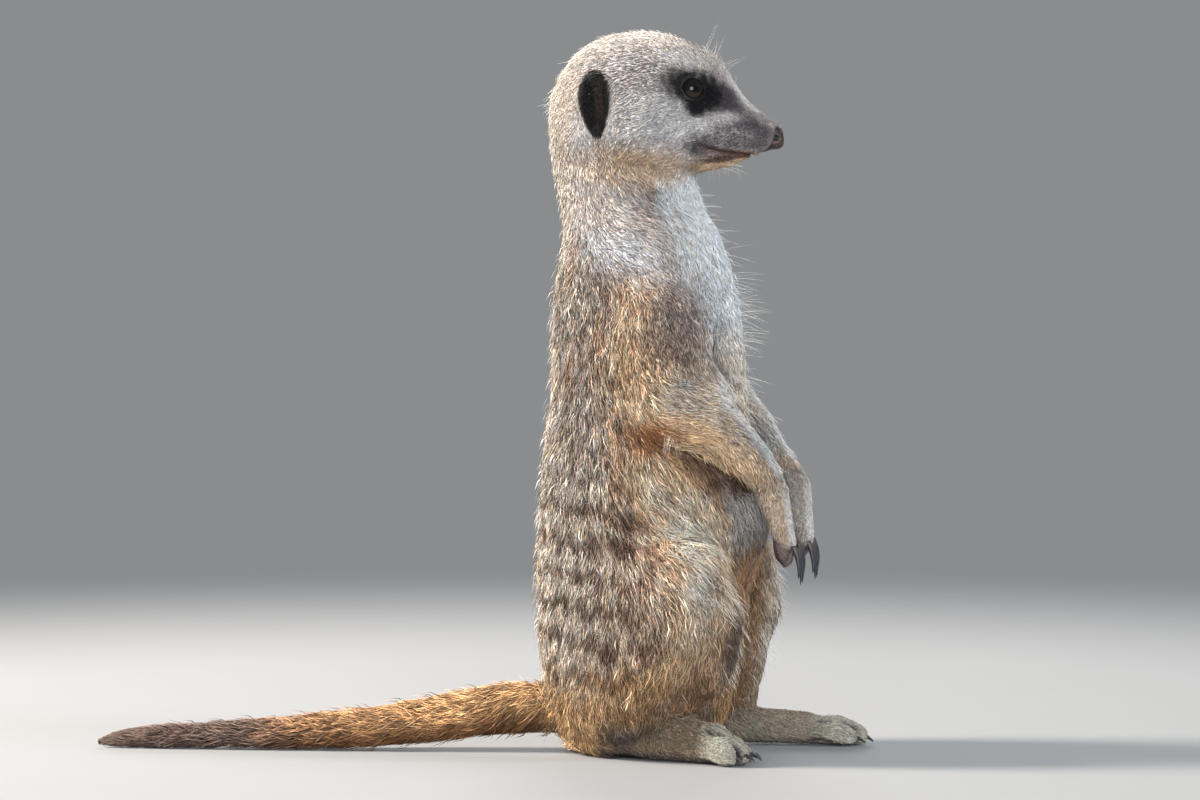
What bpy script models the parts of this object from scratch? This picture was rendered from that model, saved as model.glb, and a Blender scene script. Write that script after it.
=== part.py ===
"""A meerkat sitting upright on its haunches, life size, as a still model in metres with +Z up.

The animal faces +X, its right side is -Y, and the origin is on the floor under the middle of its haunches.
Every solid is the outer shape of the coat. Each part of the body is a loft: rings of points on oval sections
whose sizes run smoothly from one named station to the next. Where two parts meet, one has a seat cut in it
that is a little larger than the other. Lengths in the tables are in millimetres.
"""

import bmesh
import bpy
import numpy as np

MM = 0.001
GAP = 0.3  # clearance across a thin cut between two lengths of one loft
CLEARANCE = 0.5  # how far a seat is cut outside the part that sits in it

# Driving sizes of the animal.
SPLIT_HEIGHT = 190.0  # where the trunk ends and the neck begins
SHOULDER_OUT = 19.5  # shoulder joint, out from the middle plane
ELBOW_OUT = 31.5
WRIST_OUT = 19.0
KNUCKLE_OUT = 15.0
FOOT_LENGTH = 58.0  # heel to the end of the longest toe
EYE_RADIUS = 5.0
EYE_CENTRE = (28.8, 14.6, 246.0)
EAR_CENTRE = (-5.4, 23.6, 240.2)
EAR_HEIGHT = 25.2
EAR_WIDTH = 12.0
FORE_CLAW = 13.5  # length of a front claw, which is long for digging
HIND_CLAW = 7.0
FORE_TOE_PITCH = 3.4  # from the middle of one toe to the next
HIND_TOE_PITCH = 4.3
WRIST_SPLIT = 0.625  # share of the forearm and paw that is forearm
TAIL_SPLITS = (0.36, 0.70)  # shares of the tail's length where its three lengths meet

SIDES = {"right": -1.0, "left": 1.0}
ACROSS = (0.0, 1.0, 0.0)

# Height, back of the section, front of the section, half width, roundness (2 is an ellipse).
TRUNK_STATIONS = (
    (0.0, -13.0, 27.0, 22.0, 2.2),
    (2.5, -18.5, 32.0, 28.0, 2.2),
    (9.0, -23.5, 38.0, 33.0, 2.2),
    (22.0, -26.5, 42.5, 37.0, 2.2),
    (42.0, -30.0, 46.5, 39.0, 2.2),
    (68.0, -31.0, 50.5, 38.0, 2.2),
    (95.0, -29.8, 53.8, 35.0, 2.1),
    (115.0, -28.6, 53.0, 32.5, 2.1),
    (130.0, -26.4, 52.0, 30.5, 2.0),
    (143.0, -25.4, 51.2, 29.0, 2.0),
    (157.0, -25.3, 48.7, 27.5, 2.0),
    (170.0, -25.0, 45.0, 26.0, 2.0),
    (180.0, -23.4, 42.0, 24.6, 2.0),
    (188.0, -22.2, 40.0, 23.6, 2.0),
    (195.0, -21.6, 37.0, 22.8, 2.0),
    (201.0, -22.2, 32.4, 22.2, 2.0),
    (208.0, -23.6, 30.2, 22.2, 2.0),
    (217.0, -25.6, 27.0, 22.0, 2.0),
    (227.0, -26.8, 20.0, 19.0, 2.0),
    (236.0, -25.4, 8.0, 13.0, 2.0),
)

# Reach along +X, crown, underside, half width, narrowing towards the top.
HEAD_STATIONS = (
    (-25.6, 238.0, 225.0, 6.0, 0.0),
    (-24.8, 244.0, 220.0, 12.0, 0.0),
    (-21.5, 252.0, 215.0, 18.0, 0.0),
    (-16.0, 259.6, 212.5, 22.2, 0.02),
    (-8.0, 264.8, 211.0, 25.4, 0.05),
    (2.0, 267.4, 210.8, 27.0, 0.08),
    (12.0, 267.8, 211.5, 26.6, 0.10),
    (20.0, 266.0, 212.8, 24.8, 0.11),
    (27.0, 262.8, 214.2, 21.2, 0.12),
    (32.5, 259.0, 216.6, 17.8, 0.14),
    (37.5, 253.8, 220.0, 14.6, 0.16),
    (42.5, 247.4, 222.6, 11.8, 0.18),
    (47.5, 242.2, 223.4, 9.9, 0.20),
    (52.0, 238.0, 223.4, 8.4, 0.18),
    (55.6, 235.0, 223.8, 7.0, 0.15),
    (57.2, 233.2, 224.6, 5.8, 0.10),
)

# The lower jaw: reach, lip line, underside, half width, narrowing.
JAW_STATIONS = (
    (27.0, 225.0, 215.4, 14.5, 0.0),
    (31.0, 225.6, 215.4, 13.6, 0.0),
    (36.0, 225.0, 216.0, 11.2, 0.0),
    (41.0, 224.4, 217.0, 9.0, 0.0),
    (45.0, 223.8, 218.0, 7.0, 0.0),
    (48.2, 223.0, 219.4, 4.8, 0.0),
    (49.8, 222.2, 220.6, 2.4, 0.0),
)

# Soft swellings of the head: centre, radius, height. Each is made on both sides.
HEAD_SWELLINGS = (
    ((34.0, 12.5, 256.0), 6.5, 2.6),  # brow over the eye
    ((42.0, 10.5, 231.0), 8.0, 1.0),  # whisker pad
    ((12.0, 25.0, 226.0), 13.0, 1.4),  # cheek
    ((37.0, 13.5, 243.5), 5.5, -1.2),  # hollow in front of the eye
)
HEAD_MIDDLE = (5.0, 0.0, 238.0)  # swellings are pushed straight out from here

# The leather of the nose: x, y, z, half width, half depth.
NOSE_PATH = (
    (52.0, 0.0, 230.0, 2.8, 2.6),
    (54.6, 0.0, 229.9, 4.5, 4.4),
    (57.2, 0.0, 229.4, 4.9, 4.8),
    (59.2, 0.0, 228.9, 4.0, 4.0),
    (60.2, 0.0, 228.6, 2.2, 2.3),
)

# x, y, z, radius.
TAIL_PATH = (
    (-14.0, 0.0, 15.5, 8.6),
    (-26.0, 0.0, 16.6, 10.2),
    (-42.0, -1.0, 15.8, 10.0),
    (-58.0, -2.5, 13.6, 9.5),
    (-74.0, -4.5, 11.0, 8.9),
    (-90.0, -7.0, 8.8, 8.2),
    (-108.0, -9.5, 7.4, 7.5),
    (-128.0, -12.0, 6.3, 6.5),
    (-150.0, -14.0, 5.4, 5.6),
    (-168.0, -15.2, 4.6, 4.8),
    (-181.0, -16.0, 4.0, 4.2),
    (-189.0, -16.4, 3.2, 3.2),
    (-194.5, -16.7, 2.2, 1.9),
    (-197.5, -16.9, 1.5, 0.8),
)

# The thigh from the rump to the knee: reach, top, underside, half width, middle out from the middle plane.
THIGH_STATIONS = (
    (-21.0, 52.0, 28.0, 5.0, 13.0),
    (-19.0, 60.0, 20.0, 9.5, 16.0),
    (-15.0, 68.0, 12.5, 13.5, 19.5),
    (-7.0, 75.5, 6.0, 18.0, 23.5),
    (5.0, 80.5, 4.0, 21.0, 27.0),
    (16.0, 83.0, 8.0, 20.5, 29.5),
    (25.0, 84.0, 18.0, 18.5, 31.5),
    (33.0, 83.5, 31.0, 16.0, 33.5),
    (40.0, 81.5, 43.0, 13.0, 35.0),
    (45.5, 78.0, 54.0, 9.5, 35.5),
    (48.5, 73.5, 62.5, 5.0, 35.5),
)

# How each hind leg is set: heel, middle of the shin, how far the toes turn towards +Y in degrees, and
# how much further forward the knee is.
LEG_PLANS = {
    "right": {"heel": (2.0, -19.0), "shin": (35.5, -33.0, 37.0), "turn": -22.0, "knee": 0.0},
    "left": {"heel": (27.5, 33.0), "shin": (43.5, 35.0, 37.0), "turn": 9.0, "knee": 6.0},
}
ARM_REACH = {"right": 0.0, "left": 1.4}  # how much further forward each forearm hangs

COLOURS = {
    "grizzled_coat": ((0.40, 0.31, 0.22), 0.9),
    "pale_coat": ((0.66, 0.60, 0.50), 0.9),
    "tawny_coat": ((0.47, 0.28, 0.12), 0.9),
    "dark_coat": ((0.05, 0.04, 0.04), 0.85),
    "nose_leather": ((0.10, 0.07, 0.07), 0.45),
    "eye_gloss": ((0.05, 0.03, 0.02), 0.08),
    "claw_horn": ((0.03, 0.03, 0.04), 0.35),
}


def clear_scene():
    """Removes whatever the file holds, so that only the animal is in it."""
    for old in list(bpy.data.objects):
        bpy.data.objects.remove(old)


def new_collection(name):
    group = bpy.data.collections.new(name)
    bpy.context.scene.collection.children.link(group)
    return group


def coat_materials():
    """One Principled material for each finish in COLOURS."""
    made = {}
    for name, (colour, roughness) in COLOURS.items():
        material = bpy.data.materials.new(name)
        material.use_nodes = True
        shader = material.node_tree.nodes["Principled BSDF"]
        shader.inputs["Base Color"].default_value = (*colour, 1.0)
        shader.inputs["Roughness"].default_value = roughness
        shader.inputs["Metallic"].default_value = 0.0
        made[name] = material
    return made


def unit(v):
    """Rows of v at length 1."""
    v = np.asarray(v, float)
    return v / np.linalg.norm(v, axis=-1, keepdims=True)


def run_through(stations, count):
    """A smooth run of rows through the stations, by Catmull-Rom splines over the station number."""
    table = np.asarray(stations, float)
    padded = np.vstack([2 * table[0] - table[1], table, 2 * table[-1] - table[-2]])
    at = np.linspace(0.0, len(table) - 1.0, count)
    base = np.minimum(at.astype(int), len(table) - 2)
    t = (at - base)[:, None]
    before, start, end, after = (padded[base + k] for k in range(4))
    return 0.5 * (
        2 * start
        + (end - before) * t
        + (2 * before - 5 * start + 4 * end - after) * t**2
        + (3 * start - before - 3 * end + after) * t**3
    )


def oval(points, power=2.0):
    """Cosine and sine sides of a superellipse: power 2 is round, more is squarer."""
    angle = np.linspace(0.0, 2 * np.pi, points, endpoint=False)
    c, s = np.cos(angle), np.sin(angle)
    return np.sign(c) * np.abs(c) ** (2 / power), np.sign(s) * np.abs(s) ** (2 / power)


def limb_rings(stations, count, points, side_hint=ACROSS, floor=None):
    """Rings square to a path. A station is x, y, z, half width along side_hint, half depth across it."""
    run = run_through(stations, count)
    centres, wide, deep = run[:, :3], run[:, 3], run[:, 4]
    along = unit(np.gradient(centres, axis=0))
    hint = np.asarray(side_hint, float)
    side = unit(hint - (along @ hint)[:, None] * along)
    normal = np.cross(along, side)
    c, s = oval(points)
    rings = (
        centres[:, None]
        + side[:, None] * (wide[:, None] * c)[..., None]
        + normal[:, None] * (deep[:, None] * s)[..., None]
    )
    if floor is not None:
        rings[..., 2] = np.maximum(rings[..., 2], floor)
    return rings


def level_rings(run, points):
    """Level rings up the trunk and neck: each row is height, back, front, half width, roundness."""
    rings = []
    for height, back, front, half, power in run:
        c, s = oval(points, power)
        x = (front + back) / 2 + (front - back) / 2 * c
        rings.append(np.stack([x, half * s, np.full(points, height)], axis=1))
    return np.array(rings)


def standing_rings(stations, count, points):
    """Standing rings one after another along X. Narrowing draws the upper half of a section in."""
    c, s = oval(points, 2.15)
    rings = []
    for reach, top, bottom, half, narrowing in run_through(stations, count):
        z = (top + bottom) / 2 + (top - bottom) / 2 * s
        y = half * c * (1.0 - narrowing * s)
        rings.append(np.stack([np.full(points, reach), y, z], axis=1))
    return np.array(rings)


def swell(rings):
    """Pushes head rings out, or in, round the named swellings on both sides."""
    out = unit(rings - np.array(HEAD_MIDDLE))
    moved = rings.copy()
    for place, radius, height in HEAD_SWELLINGS:
        for side in SIDES.values():
            spot = np.array([place[0], place[1] * side, place[2]])
            near = np.exp(-(((rings - spot) ** 2).sum(axis=-1)) / radius**2)
            moved += out * (near * height)[..., None]
    return moved


def extent_along(rings, low, high):
    """The rings between two shares of the whole, with the cut ends moved off the cut by half the gap."""
    last = len(rings) - 1
    part = rings[round(low * last) : round(high * last) + 1].copy()
    if low > 0:
        part[0] += unit((part[1] - part[0]).mean(axis=0)) * GAP / 2
    if high < 1:
        part[-1] += unit((part[-2] - part[-1]).mean(axis=0)) * GAP / 2
    return part


def loft(name, rings, group):
    """A closed mesh object from rings of points, with a flat face at each end."""
    count, points, _ = rings.shape
    faces = [tuple(range(points)), tuple((count - 1) * points + k for k in range(points))]
    for ring in range(count - 1):
        low, high = ring * points, (ring + 1) * points
        faces += [(low + k, low + (k + 1) % points, high + (k + 1) % points, high + k) for k in range(points)]
    mesh = bpy.data.meshes.new(name)
    mesh.from_pydata((rings.reshape(-1, 3) * MM).tolist(), [], faces)
    return closed_object(name, mesh, group)


def closed_object(name, mesh, group):
    """An object in a collection, with its faces turned out and its round parts shaded smooth."""
    shape = bmesh.new()
    shape.from_mesh(mesh)
    bmesh.ops.recalc_face_normals(shape, faces=shape.faces)
    shape.to_mesh(mesh)
    shape.free()
    mesh.shade_smooth()
    mesh.set_sharp_from_angle(angle=np.radians(50.0))
    made = bpy.data.objects.new(name, mesh)
    group.objects.link(made)
    return made


def ball(name, centre, radius, segments, group):
    """A closed sphere whose mesh already stands at its centre."""
    mesh = bpy.data.meshes.new(name)
    shape = bmesh.new()
    rows = segments // 2 + 1
    bmesh.ops.create_uvsphere(shape, u_segments=segments, v_segments=rows, radius=radius * MM)
    bmesh.ops.translate(shape, verts=shape.verts, vec=np.asarray(centre) * MM)
    shape.to_mesh(mesh)
    shape.free()
    return closed_object(name, mesh, group)


def pieces_of(shape):
    """The groups of faces of a bmesh that hang together, the largest first."""
    left = set(shape.faces)
    groups = []
    while left:
        group, to_visit = set(), [left.pop()]
        while to_visit:
            face = to_visit.pop()
            group.add(face)
            for near in {f for e in face.edges for f in e.link_faces} & left:
                left.discard(near)
                to_visit.append(near)
        groups.append(group)
    return sorted(groups, key=lambda g: -sum(f.calc_area() for f in g))


def combine(made, others, operation):
    """Boolean of one solid with several. Shavings that a cut leaves are dropped."""
    for other in others:
        step = made.modifiers.new(operation.title(), "BOOLEAN")
        step.operation = operation
        step.solver = "EXACT"
        step.object = other
    bpy.context.view_layer.update()
    graph = bpy.context.evaluated_depsgraph_get()
    mesh = bpy.data.meshes.new_from_object(made.evaluated_get(graph))
    made.modifiers.clear()
    made.data = mesh
    shape = bmesh.new()
    shape.from_mesh(mesh)
    bmesh.ops.triangulate(shape, faces=shape.faces)
    for shaving in pieces_of(shape)[1:]:
        bmesh.ops.delete(shape, geom=list(shaving), context="FACES")
    shape.to_mesh(mesh)
    shape.free()


class Workshop:
    """Where the animal's parts are put, and the cutters of the seats they sit in."""

    def __init__(self):
        self.parts = new_collection("meerkat")
        self.cutters = new_collection("cutters")
        self.materials = coat_materials()

    def part(self, name, rings, finish):
        return self.finished(loft(name, rings, self.parts), finish)

    def finished(self, made, finish):
        made.data.materials.append(self.materials[finish])
        return made

    def seat_of(self, made):
        """A hidden copy of a solid with each face moved out by the clearance, to cut its seat."""
        mesh = made.data.copy()
        shape = bmesh.new()
        shape.from_mesh(mesh)
        moves = [v.normal * v.calc_shell_factor() * CLEARANCE * MM for v in shape.verts]
        for corner, move in zip(shape.verts, moves, strict=True):
            corner.co += move
        shape.to_mesh(mesh)
        shape.free()
        cutter = bpy.data.objects.new("cut_" + made.name, mesh)
        self.cutters.objects.link(cutter)
        cutter.hide_render = True
        cutter.display_type = "WIRE"
        return cutter

    def joined(self, made, toes):
        """One solid of a paw and its toes; the toes' own objects go."""
        combine(made, toes, "UNION")
        for toe in toes:
            bpy.data.objects.remove(toe)


def trunk_and_neck(shop):
    """One upright loft in two lengths, which meet at a level cut at the base of the neck."""
    points, nearest = 18, 2.0
    run = run_through(TRUNK_STATIONS, 27)
    below = run[run[:, 0] < SPLIT_HEIGHT - nearest]
    above = run[run[:, 0] > SPLIT_HEIGHT + nearest]
    share = (SPLIT_HEIGHT - below[-1, 0]) / (above[0, 0] - below[-1, 0])
    middle = below[-1] + (above[0] - below[-1]) * share
    top, bottom = middle.copy(), middle.copy()
    top[0] -= GAP / 2
    bottom[0] += GAP / 2
    trunk = shop.part("trunk", level_rings(np.vstack([below, top]), points), "grizzled_coat")
    neck = shop.part("neck", level_rings(np.vstack([bottom, above]), points), "pale_coat")
    return trunk, neck


def ear_rings(side, cupped):
    """Rings of an ear from its root outwards and over the rim, then down into the cup if it has one.

    The oval is broad above and narrow below, and leans back a little along the head.
    """
    lean = unit(np.array([0.20, side, 0.06]))
    tall = unit(np.array([-0.10, 0.0, 1.0]))
    wide = unit(np.cross(tall, lean))
    profile = [(0.55, -5.0), (0.80, -2.5), (0.97, 0.6), (1.0, 2.0)]
    profile += [(0.93, 3.0), (0.80, 2.8), (0.62, 1.4), (0.40, 0.2), (0.16, -0.2)] if cupped else [(1.0, 9.0)]
    centre = np.array([EAR_CENTRE[0], side * EAR_CENTRE[1], EAR_CENTRE[2]])
    c, s = oval(10, 2.1)
    rings = []
    for size, rise in profile:
        across = EAR_WIDTH / 2 * size * c * (1.0 + 0.16 * s)
        up = EAR_HEIGHT / 2 * size * s
        rings.append(centre + lean * rise + wide * across[:, None] + tall * up[:, None])
    return np.array(rings)


def make_head(shop, neck):
    """Head, lower jaw, nose leather, eyes and ears, each in its own seat."""
    head = shop.part("head", swell(standing_rings(HEAD_STATIONS, 21, 18)), "pale_coat")
    jaw = shop.part("jaw", standing_rings(JAW_STATIONS, 7, 9), "pale_coat")
    nose = shop.part("nose", limb_rings(NOSE_PATH, 6, 9), "nose_leather")
    head_seat, jaw_seat = shop.seat_of(head), shop.seat_of(jaw)
    seats = [jaw_seat, shop.seat_of(nose)]
    for name, side in SIDES.items():
        shop.part(f"ear_{name}", ear_rings(side, cupped=True), "dark_coat")
        blank = loft(f"ear_blank_{name}", ear_rings(side, cupped=False), shop.cutters)
        seats.append(shop.seat_of(blank))
        bpy.data.objects.remove(blank)
        centre = (EYE_CENTRE[0], side * EYE_CENTRE[1], EYE_CENTRE[2])
        eye = shop.finished(ball(f"eye_{name}", centre, EYE_RADIUS, 10, shop.parts), "eye_gloss")
        seats.append(shop.seat_of(eye))
    combine(head, seats, "DIFFERENCE")
    combine(neck, [head_seat, jaw_seat], "DIFFERENCE")


def claw_rings(root, direction, droop, length, deep, wide):
    """A claw: an oval that tapers to a blunt tip along a path bent by droop."""
    root, direction, droop = (np.asarray(v, float) for v in (root, direction, droop))
    share = np.linspace(0.0, 1.0, 4)[:, None]
    path = root + direction * length * share + droop * length * share**2
    blunt = 0.14  # the tip's share of the root's width
    taper = blunt + (1.0 - blunt) * (1.0 - share**1.6)
    return limb_rings(np.hstack([path, wide * taper, deep * taper]), 4, 5, np.cross(direction, droop))


def fore_toe(shop, name, number, side):
    """One toe of a forepaw, and its claw, whose seat is cut in the paw later."""
    reach = ARM_REACH[name]
    spread = (number - 1.5) * FORE_TOE_PITCH
    drop = 1.6 * abs(number - 1.4)  # the outer toes are shorter
    out = side * (KNUCKLE_OUT - 0.4)
    root = np.array([63.6 + reach, out + spread * 0.8, 84.5])
    tip = np.array([65.6 + reach, out - side + spread * 1.15, 74.4 + drop])
    bend = (root + tip) / 2 + np.array([1.1, 0.0, 0.4])
    end = tip + (tip - bend) * 0.3
    stations = [(*root, 1.9, 2.4), (*bend, 2.1, 3.5), (*tip, 1.9, 3.2), (*end, 1.0, 1.6)]
    toe = shop.part(f"toe_{name}_{number}", limb_rings(stations, 4, 5), "pale_coat")
    aim = unit(np.array([0.28, 0.02 * spread, -1.0]))
    length = FORE_CLAW * (1.0 - 0.07 * abs(number - 1.4))
    rings = claw_rings(tip + np.array([2.0, 0.0, 2.4]), aim, (-0.10, 0.0, -0.04), length, 1.5, 0.95)
    claw = shop.part(f"fore_claw_{name}_{number + 1}", rings, "claw_horn")
    return toe, shop.seat_of(claw)


def arm_paths(side, reach):
    """Stations of the upper arm, and of the forearm and palm together."""
    upper = (
        (12.0, side * (SHOULDER_OUT - 6), 178.0, 5.0, 8.0),
        (14.5, side * SHOULDER_OUT, 170.0, 10.5, 15.6),
        (17.2, side * (SHOULDER_OUT + 5), 156.0, 10.5, 16.8),
        (20.4, side * (ELBOW_OUT - 4.0), 141.0, 9.6, 16.0),
        (22.5, side * ELBOW_OUT, 127.0, 8.6, 13.4),
        (22.5, side * ELBOW_OUT, 118.5, 5.0, 6.0),
    )
    lower = (
        (14.0, side * ELBOW_OUT, 128.0, 5.5, 6.5),
        (22.0 + reach * 0.1, side * (ELBOW_OUT + 0.5), 127.5, 8.4, 12.0),
        (34.0 + reach * 0.4, side * (ELBOW_OUT - 2.0), 128.2, 9.0, 13.6),
        (44.0 + reach * 0.8, side * (ELBOW_OUT - 6.0), 122.0, 8.4, 11.6),
        (52.5 + reach, side * (WRIST_OUT + 5.0), 113.0, 7.2, 8.6),
        (58.5 + reach, side * (WRIST_OUT + 1.5), 104.0, 6.7, 7.4),
        (61.3 + reach, side * WRIST_OUT, 95.5, 6.4, 6.8),
        (62.8 + reach, side * (KNUCKLE_OUT + 2.0), 86.0, 6.8, 6.0),
        (63.8 + reach, side * KNUCKLE_OUT, 81.0, 7.2, 5.6),
        (64.4 + reach, side * (KNUCKLE_OUT - 0.4), 77.0, 5.6, 4.4),
    )
    return upper, lower


def make_arm(shop, name, side):
    """Upper arm, forearm, paw with four toes, and four long claws."""
    upper, lower = arm_paths(side, ARM_REACH[name])
    arm = shop.part(f"upper_arm_{name}", limb_rings(upper, 8, 9), "grizzled_coat")
    below = limb_rings(lower, 17, 8)
    whole = loft(f"whole_forearm_{name}", below, shop.cutters)
    seats = [shop.seat_of(arm), shop.seat_of(whole)]
    bpy.data.objects.remove(whole)
    shop.part(f"forearm_{name}", extent_along(below, 0.0, WRIST_SPLIT), "pale_coat")
    paw = shop.part(f"forepaw_{name}", extent_along(below, WRIST_SPLIT, 1.0), "pale_coat")
    combine(arm, seats[1:], "DIFFERENCE")
    toes, claw_seats = zip(*(fore_toe(shop, name, k, side) for k in range(4)), strict=True)
    shop.joined(paw, toes)
    combine(paw, claw_seats, "DIFFERENCE")
    return seats


def foot_frame(plan):
    """A function of a place on the foot: its distance from the heel, out across it, and its height."""
    turn = np.radians(plan["turn"])
    ahead = np.array([np.cos(turn), np.sin(turn), 0.0])
    outward = np.array([-np.sin(turn), np.cos(turn), 0.0])
    heel = np.array([*plan["heel"], 0.0])

    def place(along, out, height):
        return heel + ahead * along + outward * out + np.array([0.0, 0.0, height])

    return place, ahead, outward


def hind_toe(shop, name, number, plan):
    """One toe of a hind foot, flat on the floor, and its short claw."""
    place, ahead, outward = foot_frame(plan)
    out = (number - 1.5) * HIND_TOE_PITCH
    short = 1.4 * (number - 1.5) ** 2
    stations = [
        (*place(43.0, out * 0.85, 6.0), 2.6, 4.4),
        (*place(50.0 - short / 2, out, 5.6), 2.8, 4.6),
        (*place(FOOT_LENGTH - 3.0 - short, out * 1.06, 3.6), 2.4, 3.3),
        (*place(FOOT_LENGTH - 0.6 - short, out * 1.08, 2.6), 1.3, 1.5),
    ]
    toe = shop.part(f"hind_toe_{name}_{number}", limb_rings(stations, 4, 5, outward, 0.0), "pale_coat")
    aim = ahead + np.array([0.0, 0.0, -0.20])
    root = place(FOOT_LENGTH - 2.2 - short, out * 1.08, 4.0)
    rings = claw_rings(root, aim, (0.0, 0.0, -0.22), HIND_CLAW, 1.15, 0.8)
    claw = shop.part(f"hind_claw_{name}_{number + 1}", rings, "claw_horn")
    return toe, shop.seat_of(claw)


def thigh_rings(side, knee_forward):
    """Standing rings from the rump to the knee, drawn forward more and more towards the knee."""
    count, points, narrowing = 12, 12, 0.0
    rings = standing_rings([(*row[:4], narrowing) for row in THIGH_STATIONS], count, points)
    reach, out = run_through(THIGH_STATIONS, count)[:, [0, 4]].T
    share = (reach - reach[0]) / (reach[-1] - reach[0])
    rings[..., 0] += (knee_forward * share)[:, None]
    rings[..., 1] += (side * out)[:, None]
    return rings


def make_leg(shop, name, side):
    """Thigh, shank, and a flat foot with four toes and short claws."""
    plan = LEG_PLANS[name]
    place, _, outward = foot_frame(plan)
    shin, ankle = np.array(plan["shin"]), place(12.0, 0.0, 12.0)
    shank_path = (
        (*(shin + np.array([4.0, 0.0, 23.0])), 7.0, 7.5),
        (*(shin + np.array([2.5, 0.0, 14.0])), 9.2, 10.0),
        (*shin, 9.0, 10.0),
        (*(shin * 0.45 + ankle * 0.55 + np.array([1.5, 0.0, 0.0])), 7.8, 8.8),
        (*ankle, 6.4, 7.4),
    )
    sole = [
        (*place(-1.0, 0.0, 6.2), 3.4, 4.0),
        (*place(2.0, 0.0, 6.4), 5.8, 6.6),
        (*place(12.0, 0.0, 6.8), 7.0, 7.4),
        (*place(28.0, 0.0, 6.6), 7.6, 7.2),
        (*place(40.0, 0.0, 6.0), 8.2, 6.8),
        (*place(47.0, 0.0, 5.0), 7.6, 5.4),
        (*place(51.0, 0.0, 4.0), 5.0, 3.6),
    ]
    thigh = shop.part(f"thigh_{name}", thigh_rings(side, plan["knee"]), "grizzled_coat")
    shank = shop.part(f"shank_{name}", limb_rings(shank_path, 7, 10), "pale_coat")
    foot = shop.part(f"hind_foot_{name}", limb_rings(sole, 7, 9, outward, 0.0), "pale_coat")
    seats = [shop.seat_of(foot), shop.seat_of(shank), shop.seat_of(thigh)]
    combine(shank, seats[:1], "DIFFERENCE")
    combine(thigh, seats[:2], "DIFFERENCE")
    toes, claw_seats = zip(*(hind_toe(shop, name, k, plan) for k in range(4)), strict=True)
    shop.joined(foot, toes)
    combine(foot, claw_seats, "DIFFERENCE")
    return seats


def make_tail(shop):
    """Three lengths of one loft. It leaves the rump above the floor and then lies on it."""
    stations = [(x, y, z, radius, radius) for x, y, z, radius in TAIL_PATH]
    rings = limb_rings(stations, 24, 9, floor=0.0)
    cuts = (0.0, *TAIL_SPLITS, 1.0)
    lengths = (("tail_base", "tawny_coat"), ("tail_middle", "tawny_coat"), ("tail_tip", "dark_coat"))
    made = [
        shop.part(name, extent_along(rings, low, high), finish)
        for (name, finish), low, high in zip(lengths, cuts[:-1], cuts[1:], strict=True)
    ]
    return shop.seat_of(made[0])


def main():
    clear_scene()
    shop = Workshop()
    trunk, neck = trunk_and_neck(shop)
    make_head(shop, neck)
    seats = [make_tail(shop)]
    for name, side in SIDES.items():
        seats += make_arm(shop, name, side)
        seats += make_leg(shop, name, side)
    combine(trunk, seats, "DIFFERENCE")


main()
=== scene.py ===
import math

import bmesh
import bpy
import numpy as np
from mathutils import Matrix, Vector


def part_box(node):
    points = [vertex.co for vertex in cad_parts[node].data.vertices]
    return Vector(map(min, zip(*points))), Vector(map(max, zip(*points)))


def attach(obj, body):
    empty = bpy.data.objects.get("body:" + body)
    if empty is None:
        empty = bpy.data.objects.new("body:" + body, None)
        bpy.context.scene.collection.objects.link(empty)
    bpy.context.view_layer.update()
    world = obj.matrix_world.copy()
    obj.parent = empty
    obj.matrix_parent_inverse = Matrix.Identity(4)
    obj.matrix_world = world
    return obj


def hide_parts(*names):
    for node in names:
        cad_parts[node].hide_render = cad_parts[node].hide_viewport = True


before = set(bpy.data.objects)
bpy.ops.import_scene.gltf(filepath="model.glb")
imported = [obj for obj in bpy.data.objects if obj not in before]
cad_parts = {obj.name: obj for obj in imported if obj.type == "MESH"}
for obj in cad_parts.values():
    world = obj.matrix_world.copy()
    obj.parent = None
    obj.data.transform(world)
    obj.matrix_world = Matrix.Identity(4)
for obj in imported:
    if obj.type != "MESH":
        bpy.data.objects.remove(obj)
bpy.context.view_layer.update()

mm = 0.001
sides = {"right": -1.0, "left": 1.0}
chance = np.random.default_rng(11)
boxes = {name: tuple(np.array(corner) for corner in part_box(name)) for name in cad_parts}


# A place in a node's box: shares of its length, of its width from inside to outside, and of its height.
# A node on the middle plane counts its width from its middle. Paired nodes are named without their side.
def spot(node, along, out, up, side="right"):
    paired = node not in boxes
    low, high = boxes[f"{node}_{side}" if paired else node]
    inner, outer = (low[1], high[1]) if sides[side] > 0 else (high[1], low[1])
    if not paired:
        inner = (low[1] + high[1]) / 2
    return np.array([low[0] + (high[0] - low[0]) * along, inner + (outer - inner) * out,
                     low[2] + (high[2] - low[2]) * up])


def middleOf(node):
    return np.mean(boxes[node], axis=0)


# Which points lie in a node's box, or no further than gap (mm) outside it.
def within(points, node, gap):
    low, high = boxes[node]
    return ((points > low - gap * mm) & (points < high + gap * mm)).all(axis=1)


def unit(v):
    v = np.asarray(v, float)
    return v / np.maximum(np.linalg.norm(v, axis=-1, keepdims=True), 1e-12)


def dot(a, b):
    return (a * b).sum(axis=-1)


# 0 below the first edge, 1 above the second, and 3t^2 - 2t^3 between them.
def ease(low, high, value):
    t = np.clip((value - low) / (high - low), 0.0, 1.0)
    return t * t * (3 - 2 * t)


# 1 below the first edge and 0 above the second.
def fade(low, high, value):
    return 1 - ease(low, high, value)


# The mean of several sine waves in random directions: about -1 to 1, with waves of roughly the given length.
def ripple(points, length, seed):
    draw = np.random.default_rng(seed)
    waves = unit(draw.normal(size=(9, 3))) * draw.uniform(0.7, 1.5, (9, 1)) * 2 * math.pi / length
    return np.sin(points @ waves.T + draw.uniform(0, 2 * math.pi, 9)).mean(axis=1) * 2.2


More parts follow.
